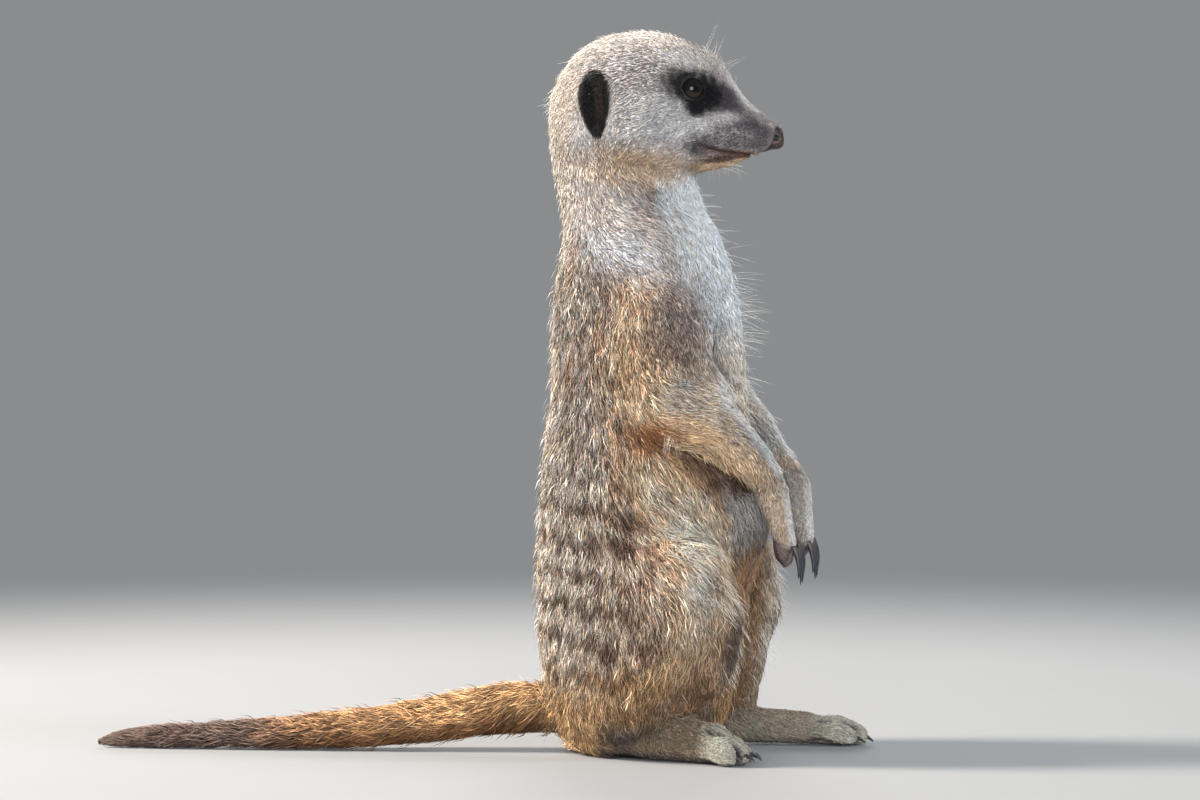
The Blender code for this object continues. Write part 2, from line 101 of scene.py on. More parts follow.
# 1 inside an ellipsoid and 0 outside it, over a soft edge. Axes are length, width and height in mm.
# Tilt turns it about the Y axis, in degrees; a positive tilt lowers its front.
def patch(points, centre, axes, soft=0.3, tilt=0.0, ragged=0.0, seed=3):
    away = points - centre
    turn = math.radians(tilt)
    x = away[:, 0] * math.cos(turn) - away[:, 2] * math.sin(turn)
    z = away[:, 0] * math.sin(turn) + away[:, 2] * math.cos(turn)
    far = np.sqrt((x / axes[0]) ** 2 + (away[:, 1] / axes[1]) ** 2 + (z / axes[2]) ** 2) / mm
    if ragged:
        far = far + ragged * ripple(points, 3.5 * mm, seed)
    return fade(1 - soft, 1 + soft, far)


def newObject(name, data):
    made = bpy.data.objects.new(name, data)
    bpy.context.scene.collection.objects.link(made)
    return made


# The numbers of a mesh's points, normals, edges or corners as one table.
def readTable(items, key, width, kind=np.float32):
    values = np.empty(len(items) * width, kind)
    items.foreach_get(key, values)
    return values.reshape(-1, width)


def readPoints(mesh):
    return readTable(mesh.vertices, "co", 3).astype(float)


def writePoints(mesh, points):
    mesh.vertices.foreach_set("co", points.astype(np.float32).ravel())
    mesh.update()


def readNormals(mesh):
    return readTable(mesh.vertex_normals, "vector", 3).astype(float)


def readEdges(mesh):
    return readTable(mesh.edges, "vertices", 2, np.int32)


# Each value moves towards the mean of its neighbours; with a pull-back, every second round moves out again.
def relax(values, edges, amount, rounds, pullBack=0.0):
    count = len(values)
    links = np.maximum(np.bincount(edges.ravel(), minlength=count), 1)[:, None]
    for turn in range(rounds):
        total = np.stack([
            np.bincount(edges[:, 0], values[edges[:, 1], k], count)
            + np.bincount(edges[:, 1], values[edges[:, 0], k], count) for k in range(values.shape[1])
        ], axis=1)
        step = -pullBack if pullBack and turn % 2 else 0.5
        values = values + (total / links - values) * amount[:, None] * step
    return values


def setColours(mesh, name, colours):
    layer = mesh.color_attributes.new(name, "FLOAT_COLOR", "POINT")
    full = np.ones((len(colours), 4), np.float32)
    full[:, :3] = np.clip(colours, 0.0, 1.0)
    layer.data.foreach_set("color", full.ravel())


def setValues(mesh, name, values):
    mesh.attributes.new(name, "FLOAT", "POINT").data.foreach_set("value", values.astype(np.float32))


# Each kind of hair: length, depth over the skin, width of a tuft (mm), tufts for each square mm, and how
# far the tips stand off (1 lies at the depth).
coatKinds = {
    "muzzle": (1.5, 0.3, 0.24, 4.2, 1.0),
    "face": (2.7, 0.75, 0.31, 3.2, 1.0),
    "brow": (4.6, 1.7, 0.28, 3.4, 1.3),
    "crown": (3.6, 1.0, 0.34, 2.6, 1.0),
    "ear": (2.2, 0.4, 0.3, 2.6, 1.0),
    "neck": (6.0, 1.6, 0.46, 1.75, 1.0),
    "chest": (7.5, 1.9, 0.46, 1.35, 1.0),
    "back": (9.0, 2.1, 0.5, 1.45, 1.2),
    "flank": (10.5, 2.2, 0.47, 1.4, 1.15),
    "belly": (10.5, 2.5, 0.45, 1.1, 1.1),
    "thigh": (9.5, 2.1, 0.49, 1.45, 1.15),
    "cream": (13.0, 2.5, 0.43, 1.5, 1.15),
    "arm": (4.6, 1.1, 0.4, 2.0, 1.0),
    "paw": (2.0, 0.4, 0.27, 3.4, 1.0),
    "shank": (4.5, 1.1, 0.4, 1.5, 1.0),
    "foot": (2.4, 0.5, 0.3, 2.6, 1.0),
    "tail": (9.0, 2.3, 0.5, 1.75, 1.1),
    "tip": (8.0, 1.2, 0.42, 2.2, 1.0),
}
kindNames = list(coatKinds)
kindValues = np.array([coatKinds[k] for k in kindNames])

# Where the hair lies which way, by node: shares along, out and up its box, the way (x, outwards, z), kind.
coatGuides = {
    "head": (
        (0.97, 0.15, 0.4, (-1, 0.1, 0.45), "muzzle"), (0.86, 0.25, 0.55, (-1, 0.15, 0.6), "muzzle"),
        (0.86, 0.35, 0.28, (-1, 0.35, 0.05), "muzzle"), (0.76, 0.45, 0.32, (-1, 0.4, 0), "muzzle"),
        (0.72, 0.52, 0.45, (-1, 0.35, -0.25), "face"), (0.72, 0.3, 0.78, (-1, 0.2, 0.75), "face"),
        (0.64, 0.55, 0.8, (-1, 0.2, 0.35), "face"), (0.77, 0.18, 0.82, (-0.2, 0.1, 1), "brow"),
        (0.72, 0.42, 0.84, (-0.6, 0.2, 0.8), "brow"), (0.6, 0, 0.93, (-1, 0, 0.5), "crown"),
        (0.45, 0.3, 1, (-1, 0.05, 0.05), "crown"), (0.25, 0.3, 0.96, (-1, 0.05, -0.3), "crown"),
        (0.08, 0.2, 0.8, (-0.7, 0, -1), "crown"), (0, 0.2, 0.5, (-0.1, 0, -1), "crown"),
        (0.42, 0.8, 0.75, (-1, 0.1, -0.15), "crown"), (0.55, 0.85, 0.6, (-1, 0.2, -0.15), "face"),
        (0.45, 0.97, 0.45, (-1, 0.1, -0.3), "face"), (0.6, 0.75, 0.3, (-1, 0.35, -0.4), "face"),
        (0.45, 0.9, 0.18, (-1, 0.1, -0.65), "face"), (0.18, 0.85, 0.75, (-1, 0, -0.6), "crown"),
        (0.12, 0.7, 0.4, (-0.4, 0, -1), "crown"), (0.22, 0.9, 0.12, (0.1, 0, -1), "crown"),
    ),
    "jaw": (
        (0.95, 0.2, 0.4, (-1, 0.1, -0.1), "muzzle"), (0.55, 0.6, 0.3, (-1, 0.2, -0.2), "muzzle"),
        (0.2, 0.9, 0.2, (-1, 0.1, -0.5), "face"), (0.1, 0.1, 0, (-1, 0, -0.8), "face"),
    ),
    "ear": (
        (0.6, 1, 0.6, (-0.2, 0.1, -1), "ear"), (0.6, 0.6, 0.2, (-0.2, 0.1, -1), "ear"),
    ),
    "neck": (
        (0, 0.2, 0.8, (0, 0, -1), "neck"), (0.05, 0.2, 0.2, (0, 0, -1), "neck"),
        (0.28, 0.9, 0.7, (0.45, 0, -1), "neck"), (0.55, 1, 0.6, (1, 0, -0.8), "neck"),
        (0.5, 1, 0.2, (1, 0, -0.5), "neck"), (0.78, 0.8, 0.3, (0.8, 0, -0.9), "neck"),
        (0.84, 0.1, 0.6, (0.1, 0, -1), "chest"), (1, 0.1, 0.05, (0.2, 0, -1), "chest"),
    ),
    "trunk": (
        (0.02, 0.1, 0.93, (-0.05, 0, -1), "back"), (0.02, 0.1, 0.7, (-0.05, 0, -1), "back"),
        (0.02, 0.1, 0.45, (-0.05, 0, -1), "back"), (0.02, 0.1, 0.22, (-0.05, 0, -1), "back"),
        (0.08, 0.2, 0.05, (-0.4, 0.1, -1), "back"), (0.18, 0.75, 0.85, (0.1, 0, -1), "back"),
        (0.2, 0.8, 0.6, (0.02, 0, -1), "back"), (0.22, 0.9, 0.35, (0.08, 0, -1), "back"),
        (0.42, 0.98, 0.58, (0.25, 0, -1), "flank"), (0.6, 0.98, 0.5, (0.75, 0, -1), "flank"),
        (0.78, 0.75, 0.55, (0.35, -0.1, -1), "belly"), (0.95, 0.4, 0.5, (0.1, 0, -1), "belly"),
        (0.95, 0.2, 0.3, (0, 0, -1), "belly"), (0.85, 0.3, 0.1, (0, 0, -1), "belly"),
        (0.98, 0.1, 0.65, (0.05, 0, -1), "chest"), (0.96, 0.1, 0.85, (0.15, 0, -1), "chest"),
        (0.86, 0.55, 0.8, (0.15, -0.1, -1), "chest"),
    ),
    "upper_arm": (
        (0.35, 0.9, 0.97, (1, 0.1, -0.7), "neck"), (0.8, 0.8, 0.8, (0.45, 0.1, -1), "arm"),
        (0.1, 0.8, 0.65, (0.1, 0.1, -1), "back"), (0.45, 1, 0.6, (0.2, 0.1, -1), "arm"),
        (0.95, 0.7, 0.5, (0, 0.1, -1), "arm"), (0.3, 1, 0.25, (0.6, 0.1, -1), "flank"),
    ),
    "forearm": (
        (0.15, 1, 0.72, (1, 0.05, -0.2), "arm"), (0.4, 0.95, 0.95, (0.9, -0.1, -0.5), "arm"),
        (0.45, 0.95, 0.6, (1, -0.25, -0.15), "arm"), (0.72, 0.6, 0.6, (0.85, -0.3, -0.8), "arm"),
        (0.92, 0.4, 0.2, (0.2, -0.2, -1), "arm"),
    ),
    "forepaw": (
        (0.6, 0.6, 0.75, (0.1, -0.1, -1), "paw"), (0.8, 0.5, 0.1, (0.1, 0, -1), "paw"),
    ),
    "thigh": (
        (0.05, 0.6, 0.55, (-0.1, 0, -1), "thigh"), (0.25, 0.9, 0.8, (0.1, 0, -1), "thigh"),
        (0.54, 1, 1.26, (0.65, 0, -1), "cream"), (0.66, 1, 1.1, (0.85, 0, -1), "cream"),
        (0.5, 1, 0.94, (0.6, 0, -1), "cream"), (0.42, 1, 0.5, (0.05, 0, -1), "thigh"),
        (0.78, 1, 0.98, (1, 0, -0.8), "cream"), (0.9, 0.9, 0.9, (0.8, 0, -1), "cream"),
        (0.93, 0.75, 0.7, (0.1, 0, -1), "cream"), (0.82, 0.92, 0.45, (-0.2, 0, -1), "cream"),
        (0.3, 0.85, 0.12, (-0.05, 0, -1), "thigh"), (0.62, 0.85, 0.18, (-0.25, 0, -1), "thigh"),
        (0.05, 0.4, 0.25, (-0.5, 0, -1), "thigh"),
    ),
    "shank": (
        (0.9, 0.5, 0.7, (0.05, 0, -1), "shank"), (0.5, 0.6, 0.35, (-0.3, 0, -1), "shank"),
        (0.25, 0.5, 0.05, (0.2, 0.2, -1), "shank"),
    ),
    "tail_base": (
        (0.9, 0.5, 0.6, (-1, 0, -0.05), "tail"), (0.3, 0.5, 0.6, (-1, -0.05, -0.12), "tail"),
    ),
    "tail_middle": (
        (0.8, 0.5, 0.6, (-1, -0.1, -0.08), "tail"), (0.2, 0.5, 0.6, (-1, -0.1, -0.04), "tail"),
    ),
    "tail_tip": (
        (0.5, 0.5, 0.5, (-1, -0.08, -0.1), "tip"),
    ),
}


# Each hind foot points along the line square to its row of claws.
def footAhead(side):
    first, last = (middleOf(f"hind_claw_{side}_{k}") for k in (1, 4))
    across = unit((last - first) * [1.0, 1.0, 0.0])
    return np.array([across[1], -across[0], 0.0])


# Tables of every guide on both sides: place, direction and kind.
def layGuides():
    places, ways, kinds = [], [], []
    for side, sign in sides.items():
        for node, rows in coatGuides.items():
            for along, out, up, (x, y, z), kind in rows:
                places.append(spot(node, along, out, up, side))
                ways.append((x, y if node.startswith("tail") else y * sign, z))
                kinds.append(kindNames.index(kind))
        ahead = footAhead(side)
        low, high = boxes[f"hind_foot_{side}"]
        middle = (low + high) / 2
        for share, height in ((-0.32, 0.9), (0.0, 0.9), (0.32, 0.6)):
            places.append(middle * [1, 1, 0] + ahead * share * 58 * mm + [0, 0, high[2] * height])
            ways.append(ahead + [0, 0, -0.15])
            kinds.append(kindNames.index("foot"))
    return np.array(places), unit(ways), np.array(kinds)


# The lie and the kind's five numbers at each point: a mean of the guides, weighted by
# 1 / (distance^2 + nearest^2)^falls.
def coatAt(points, normals):
    places, ways, kinds = layGuides()
    nearest, falls = 5 * mm, 2.2
    lie, numbers = np.empty_like(points), np.empty((len(points), kindValues.shape[1]))
    for part in np.array_split(np.arange(len(points)), 12):
        gap = ((points[part, None] - places[None]) ** 2).sum(axis=2)
        weight = 1 / (gap + nearest**2) ** falls
        weight /= weight.sum(axis=1, keepdims=True)
        lie[part], numbers[part] = weight @ ways, weight @ kindValues[kinds]
    lie -= normals * dot(lie, normals)[:, None]
    return unit(lie), numbers


# Casting grid and swelling of the solids (mm), rounds of softening and of evening, gap over the floor (mm),
# and the heights between which the head's finer smoothing sets in (m).
skinPlan = {"voxel": 1.5, "overlap": 0.4, "rounds": 4, "evened": 20, "floorGap": 0.15,
            "headEdge": (0.205, 0.215)}
apart = ("eye", "nose", "fore_claw", "hind_claw")  # nodes that stay separate pieces
fleshNodes = sorted(n for n in boxes if not n.startswith(apart))


# One closed mesh round the flesh, with eyes and nose filled in under it: copies swollen until they overlap,
# then made one surface on a voxel grid.
def castBody():
    joined = bmesh.new()
    for name in [*fleshNodes, "eye_left", "eye_right", "nose"]:
        part = bmesh.new()
        part.from_mesh(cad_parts[name].data)
        bmesh.ops.remove_doubles(part, verts=part.verts, dist=1e-6)
        mesh = bpy.data.meshes.new("swollen")
        part.to_mesh(mesh)
        part.free()
        writePoints(mesh, readPoints(mesh) + readNormals(mesh) * skinPlan["overlap"] * mm)
        joined.from_mesh(mesh)
        bpy.data.meshes.remove(mesh)
    mesh = bpy.data.meshes.new("skin")
    joined.to_mesh(mesh)
    joined.free()
    body = newObject("skin", mesh)
    remesh = body.modifiers.new("Remesh", "REMESH")
    remesh.mode = "VOXEL"
    remesh.voxel_size = skinPlan["voxel"] * mm
    cast = bpy.data.meshes.new_from_object(body.evaluated_get(bpy.context.evaluated_depsgraph_get()))
    body.modifiers.clear()
    body.data = cast
    return body


# Cuts every edge of a region in two, so that fine shapes can be pushed into it.
def refine(mesh, wanted):
    shape = bmesh.new()
    shape.from_mesh(mesh)
    shape.edges.ensure_lookup_table()
    ends = readEdges(mesh)
    chosen = np.flatnonzero(wanted[ends].all(axis=1))
    bmesh.ops.subdivide_edges(shape, edges=[shape.edges[k] for k in chosen], cuts=1, use_grid_fill=True)
    bmesh.ops.triangulate(shape, faces=[f for f in shape.faces if len(f.verts) > 4])
    shape.to_mesh(mesh)
    shape.free()
    mesh.update()


# Softens the joins between the solids, more on the body than on head and feet, then sinks the skin by the
# coat.
def settleSkin(body):
    mesh = body.data
    points, normals, edges = readPoints(mesh), readNormals(mesh), readEdges(mesh)
    _, numbers = coatAt(points, normals)
    soft = ease(0.5, 1.8, numbers[:, 1])
    points = relax(points, edges, soft, skinPlan["rounds"])
    points = relax(points, edges, np.ones(len(points)), skinPlan["evened"], pullBack=0.53)
    writePoints(mesh, points)
    normals = unit(relax(readNormals(mesh), edges, np.ones(len(points)), 4))
    depth = (numbers[:, 1] * (1 + 0.12 * ripple(points, 16 * mm, 5)) + skinPlan["overlap"]) * mm
    points = points - normals * depth[:, None]
    points[:, 2] = np.maximum(points[:, 2], skinPlan["floorGap"] * mm)
    writePoints(mesh, points)


# The ball's radius, the lids' half length, half height and thickness (mm); the way the lids face, the way the
# eye looks, the way the lids slant, and how far the ball's front bulges.
eyePlan = {"radius": 5.0, "length": 4.5, "height": 3.6, "lid": 0.75, "look": (0.42, 0.9, 0.05),
           "gaze": (0.46, 0.88, 0.04), "slant": (0.22, 0.0, 1.0), "bulge": 0.07}


# An eye's centre, and its axes: the way it looks, forwards along the lids, and up across them.
def eyeFrame(side):
    centre = middleOf(f"eye_{side}")
    x, out, z = eyePlan["look"]
    look = unit([x, out * sides[side], z])
    slant = np.array(eyePlan["slant"])
    up = unit(slant - look * dot(slant, look))
    ahead = np.cross(up, look) * -sides[side]
    return centre, look, ahead, up


# The dark patch round an eye: middle before and above the eye, half length and height (mm), and tilt.
eyePatches = ((-0.6, 1.0, 11.4, 6.3, 10.0), (4.6, -3.0, 6.6, 6.0, 20.0), (1.8, -6.6, 3.6, 3.8, 0.0))


# Above 0 inside the opening of the lids, 0 on its edge: 1 - (a / length)^2 - |b| / height.
def lidOpening(away, ahead, up):
    a, b = away @ ahead / mm, away @ up / mm
    height = np.where(b > 0, eyePlan["height"], eyePlan["height"] * 0.82)
    return 1 - (a / eyePlan["length"]) ** 2 - np.abs(b) / height


# Lids: skin near an eye is lifted clear of the ball, rolled at the edge of the opening and sunk inside it.
def shapeLids(points):
    for side in sides:
        centre, look, ahead, up = eyeFrame(side)
        away = points - centre
        far = np.linalg.norm(away, axis=1)
        front = (away @ look > 0.5 * mm) & (far < 9 * mm)
        inside = lidOpening(away, ahead, up)
        rim = np.exp(-((inside + 0.16) / 0.22) ** 2)
        cover = (eyePlan["radius"] + 0.25 + eyePlan["lid"] * rim) * mm
        fold = 0.35 * mm * np.exp(-((inside + 0.75) / 0.14) ** 2)
        shown = ease(-0.04, 0.1, inside)
        target = np.maximum(far - fold, cover) * (1 - shown) + (eyePlan["radius"] - 1.2) * mm * shown
        points = np.where(front[:, None], centre + away * (target / np.maximum(far, 1e-9))[:, None], points)
    return points


# Marks that a crease runs through, each a share of its node's box. The mouth goes from its corner to under
# the nose, one crease goes along the underside of the forearm, and one up its front and the front of the
# upper arm. The pale sweep comes from the flank over the thigh's front.
creases = {
    "sweep": (("thigh", 0.54, 1.0, 1.26), ("thigh", 0.7, 1.0, 1.06), ("thigh", 0.84, 1.0, 0.92),
              ("thigh", 0.88, 1.0, 0.66), ("thigh", 0.8, 1.0, 0.34)),
    "mouth": (("jaw", 0.17, 0.92, 1.1), ("jaw", 0.32, 0.85, 0.92), ("jaw", 0.55, 0.66, 0.8),
              ("jaw", 0.78, 0.46, 0.72), ("jaw", 0.98, 0.15, 0.66)),
    "under forearm": (("forearm", 0.2, 0.9, 0.43), ("forearm", 0.34, 0.9, 0.39), ("forearm", 0.52, 0.8, 0.25),
                      ("forearm", 0.68, 0.7, 0.06), ("forearm", 0.74, 0.6, -0.12)),
    "before arm": (("forearm", 0.76, 0.4, 0.66), ("forearm", 0.585, 0.5, 0.84), ("forearm", 0.44, 0.6, 1.1),
                   ("upper_arm", 1.02, 0.6, 0.64), ("upper_arm", 1.1, 0.7, 0.88)),
}


# A crease on one side as a run of many places.
def runAlong(name, side):
    stops = np.array([spot(*mark, side) for mark in creases[name]])
    share = np.linspace(0, len(stops) - 1, 50)
    return np.stack([np.interp(share, np.arange(len(stops)), stops[:, k]) for k in range(3)], axis=1)


# Distance to the nearest of a run of places, for points within reach (mm); y counts less than x and z. Also
# 1 on the right hand of the run and -1 on its left.
def awayFrom(points, run, sideways=0.35, reach=45):
    scale = np.array([1.0, sideways, 1.0])
    best, hand = np.full(len(points), 1.0), np.full(len(points), -1.0)
    near = np.flatnonzero(np.linalg.norm(points - run.mean(axis=0), axis=1) < reach * mm)
    gaps = np.linalg.norm((points[near, None] - run[None]) * scale, axis=2)
    nearest = gaps.argmin(axis=1)
    best[near] = gaps.min(axis=1)
    ahead, off = np.gradient(run, axis=0)[nearest], points[near] - run[nearest]
    hand[near] = np.sign(off[:, 0] * ahead[:, 2] - off[:, 2] * ahead[:, 0])
    return best, hand


# Depth of the groove, its half width on the arm's side and on the hollow's (mm).
hollowPlan = {"under forearm": (2.2, 1.1, 6.0), "before arm": (2.6, 1.1, 5.0)}


# Where an arm lies over the body: a groove that is steep on the arm's side and a wide hollow on the other,
# each depth x e^-(distance / half width)^2, with the arm's edge raised beside it.
def shapeHollows(points, normals):
    push = np.zeros(len(points))
    for side, sign in sides.items():
        for name, (depth, half, wide) in hollowPlan.items():
            gap, hand = awayFrom(points, runAlong(name, side), 0.12)
            gap = gap / mm
            reach = np.where(hand > 0, wide, half)
            facing = ease(-0.2, 0.4, normals[:, 1] * sign) * (points[:, 1] * sign > 4 * mm)
            push -= facing * depth * np.exp(-(gap / reach) ** 2)
            push += facing * 0.5 * (hand < 0) * np.exp(-((gap - 2.6) / 1.4) ** 2)
    return points + normals * (push * mm)[:, None]


# Distance in mm from the creases under and before each arm, on its outer side: above 0 in the hollow, below
# 0 on the arm.
def besideArms(points, normals):
    found = {name: np.full(len(points), -90.0) for name in hollowPlan}
    for side, sign in sides.items():
        for name in hollowPlan:
            gap, hand = awayFrom(points, runAlong(name, side), 0.12)
            mine = (points[:, 1] * sign > 6 * mm) & (gap < 0.5) & (normals[:, 1] * sign > -0.25)
            found[name][mine] = (gap * hand)[mine] / mm
    return found


# Fuller brow, belly, knees, hands and right foot, and a chin drawn back under the upper lip: each is a soft
# patch of so many mm, along the normal or along X.
def fillOut(points, normals):
    push = 1.7 * patch(points, spot("head", 0.79, 0, 0.76), (8, 15, 8), soft=0.8)
    push += 2.0 * patch(points, spot("trunk", 0.98, 0, 0.45), (14, 18, 26), soft=0.8)
    push += 0.7 * patch(points, spot("nose", 0.1, 0, 0.55), (7, 8, 7), soft=0.8)
    push += 2.8 * patch(points, spot("thigh", 0.97, 0.55, 0.7, "left"), (9, 12, 22), soft=0.8)
    push += 2.6 * patch(points, spot("hind_foot", 0.5, 0.5, 0.95, "right"), (22, 12, 6), soft=0.7) * ease(
        0.1, 0.7, normals[:, 2])
    points = points + normals * (push * mm)[:, None]
    points[:, 0] += 7.5 * mm * patch(points, spot("shank", 0.95, 0.45, 0.62), (12, 17, 24), soft=0.6)
    points[:, 0] += 4.5 * mm * patch(points, spot("trunk", 0.97, 0, 0.43), (10, 24, 17), soft=0.6)
    x, y, z = (points / mm).T
    hand = fade(98, 114, z) * (z > 62) * (np.abs(y) < 30)
    rear = ease(0.05, 0.5, -normals[:, 0]) * (x > 46)
    for side, ahead, behind in (("right", 2.2, 3.4), ("left", 3.5, 1.5)):
        mine = hand * (y * sides[side] > 2)
        points[:, 0] += mine * np.maximum(ease(55, 61, x) * ahead, rear * (z > 68) * behind) * mm
    points[:, 0] += 2.2 * mm * patch(points, spot("forearm", 0.93, 0.4, 0.4), (9, 12, 10), soft=0.7)
    points[:, 0] -= 1.3 * mm * patch(points, spot("forepaw", 0.22, 0.5, 0.46), (4, 8, 4), soft=0.7)
    points[:, 2] -= 2.6 * mm * hand * (y < -2) * ease(54, 58, x) * fade(74, 84, z)
    low, high = boxes["jaw"]
    under = fade(0.5, 0.66, (points[:, 2] - low[2]) / (high - low)[2])
    points[:, 0] -= 3.6 * mm * ease(-9 * mm, 0.0, points[:, 0] - high[0]) * under
    return points


# How far a point is from the nose's middle, 1 on the nose's surface, for points beside or before it.
def fromNose(points):
    low, high = boxes["nose"]
    away = (points + [0, 0, 0.9 * mm] - (low + high) / 2) / ((high - low) / 2)
    return np.where((away[:, 0] > -0.35) & (away[:, 2] > -1.0), np.linalg.norm(away, axis=1), 9.0)


# Folds of the face: the mouth's groove and lips, the whisker pads, and the ridges in each ear.
def shapeFace(points, normals):
    push = np.zeros(len(points))
    for side, sign in sides.items():
        own = points[:, 1] * sign > -2 * mm
        gap = awayFrom(points, runAlong("mouth", side))[0] / mm
        push += own * (-1.3 * np.exp(-(gap / 0.75) ** 2) + 0.35 * np.exp(-((gap - 1.9) / 0.9) ** 2))
        push += 0.5 * patch(points, spot("head", 0.84, 0.38, 0.24, side), (6, 5, 4), soft=0.8)
        ear = middleOf(f"ear_{side}")
        away = points - ear
        reach = np.linalg.norm(away * [1.6, 0.6, 0.9], axis=1) < 13 * mm
        reach &= points[:, 1] * sign > abs(ear[1]) - 6 * mm
        line = (away[:, 0] + 0.1 * away[:, 2]) / mm
        height = away[:, 2] / mm
        push += reach * 1.3 * np.exp(-((line - 0.4) / 0.8) ** 2) * ease(-11, -6, height) * fade(5, 9, height)
        push -= reach * 1.0 * np.exp(-((line + 2.2) / 1.1) ** 2) * fade(6, 10, np.abs(height))
        push -= reach * 0.8 * np.exp(-((line - 2.8) / 1.0) ** 2) * fade(6, 10, np.abs(height))
    points = points + normals * (push * mm)[:, None]
    sunk = 0.22 * fade(0.98, 1.16, fromNose(points))
    return points - (points - middleOf("nose")) * sunk[:, None]


# The groove's length, depth and half width, and how far a toe swells (mm).
toePlan = {"hind": (19.0, 3.0, 1.3, 1.9), "fore": (10.0, 1.3, 0.6, 0.6)}
toeHalf, pawReach = 2.1, 26  # a toe's half width, and how far a paw reaches from its claws (mm)


# Grooves between the toes, each from between two claws back along the paw, and how far each toe swells
# round its claw: shares of the plan's depth and swell, e^-(out / half)^2 for as long as the groove or the
# toe goes back.
def alongToes(points, normals):
    grooves, swell = ({paw: np.zeros(len(points)) for paw in toePlan} for _ in range(2))
    for side in sides:
        for paw, (length, _, half, _) in toePlan.items():
            claws = np.array([middleOf(f"{paw}_claw_{side}_{k}") for k in (1, 2, 3, 4)])
            across = unit(claws[3] - claws[0])
            back = -footAhead(side) if paw == "hind" else np.array([-0.15, 0.0, 1.0])

            def backFrom(start, width, begins, ends):
                away = points - start
                along, out = away @ back / mm, away @ across / mm
                near = np.linalg.norm(away, axis=1) < pawReach * mm
                return near * np.exp(-(out / width) ** 2) * ease(begins, 3, along) * fade(ends, length, along)

            for start in (claws[1:] + claws[:-1]) / 2:
                groove = backFrom(start, half, -2, length - 8) * (normals @ back < 0.8)
                grooves[paw] = np.maximum(grooves[paw], groove)
            for claw in claws:
                swell[paw] = np.maximum(swell[paw], backFrom(claw, toeHalf, -3, length * 0.5))
    return grooves, swell


# Toes: each point moves along its normal by swell x rise - groove x depth, and the hind toes are drawn out
# forwards.
def shapeToes(points, normals):
    grooves, swell = alongToes(points, normals)
    push = sum(swell[paw] * rise - grooves[paw] * depth for paw, (_, depth, _, rise) in toePlan.items())
    points = points + normals * (push * mm)[:, None]
    for side, further in (("right", 3.6), ("left", 6.0)):
        foot = f"hind_foot_{side}"
        along = (points - middleOf(foot)) @ footAhead(side) / mm
        mine = within(points, foot, 3)
        points += (mine * ease(6, 28, along) * further * mm)[:, None] * footAhead(side)
    points[:, 2] = np.maximum(points[:, 2], skinPlan["floorGap"] * mm)
    return points


# The cast skin, settled, filled out where it should be fuller, made finer at head and paws, and then given
# its folds, toes and lids.
def makeSkin():
    body = castBody()
    mesh = body.data
    settleSkin(body)
    writePoints(mesh, shapeHollows(readPoints(mesh), readNormals(mesh)))
    points, edges = readPoints(mesh), readEdges(mesh)
    points = fillOut(points, readNormals(mesh))
    chin = patch(points, spot("jaw", 0.8, 0, 0.45), (8, 8, 6), soft=0.5)
    writePoints(mesh, relax(points, edges, chin, 6))
    points = readPoints(mesh)
    paws = np.zeros(len(points), bool)
    for name in [f"{paw}_{side}" for paw in ("forepaw", "hind_foot") for side in sides]:
        paws |= within(points, name, 2)
    refine(mesh, (points[:, 2] > spot("head", 0, 0, 0.02)[2]) | paws)
    points = readPoints(mesh)
    fine = np.zeros(len(points), bool)
    for side in sides:
        fine |= np.linalg.norm(points - middleOf(f"eye_{side}"), axis=1) < 8.5 * mm
        fine |= awayFrom(points, runAlong("mouth", side))[0] < 2.5 * mm
    refine(mesh, fine)
    points, edges = readPoints(mesh), readEdges(mesh)
    head = ease(*skinPlan["headEdge"], points[:, 2])
    points = relax(points, edges, head, 4, pullBack=0.53)
    writePoints(mesh, points)
    points = shapeFace(points, readNormals(mesh))
    points = shapeToes(points, readNormals(mesh))
    points = shapeLids(points)
    writePoints(mesh, points)
    mesh.shade_smooth()
    return body


skin = makeSkin()
triangles = sum(len(face.vertices) - 2 for face in skin.data.polygons)
print("skin:", len(skin.data.vertices), "points,", triangles, "triangles")

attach(skin, "root")
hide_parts(*fleshNodes)


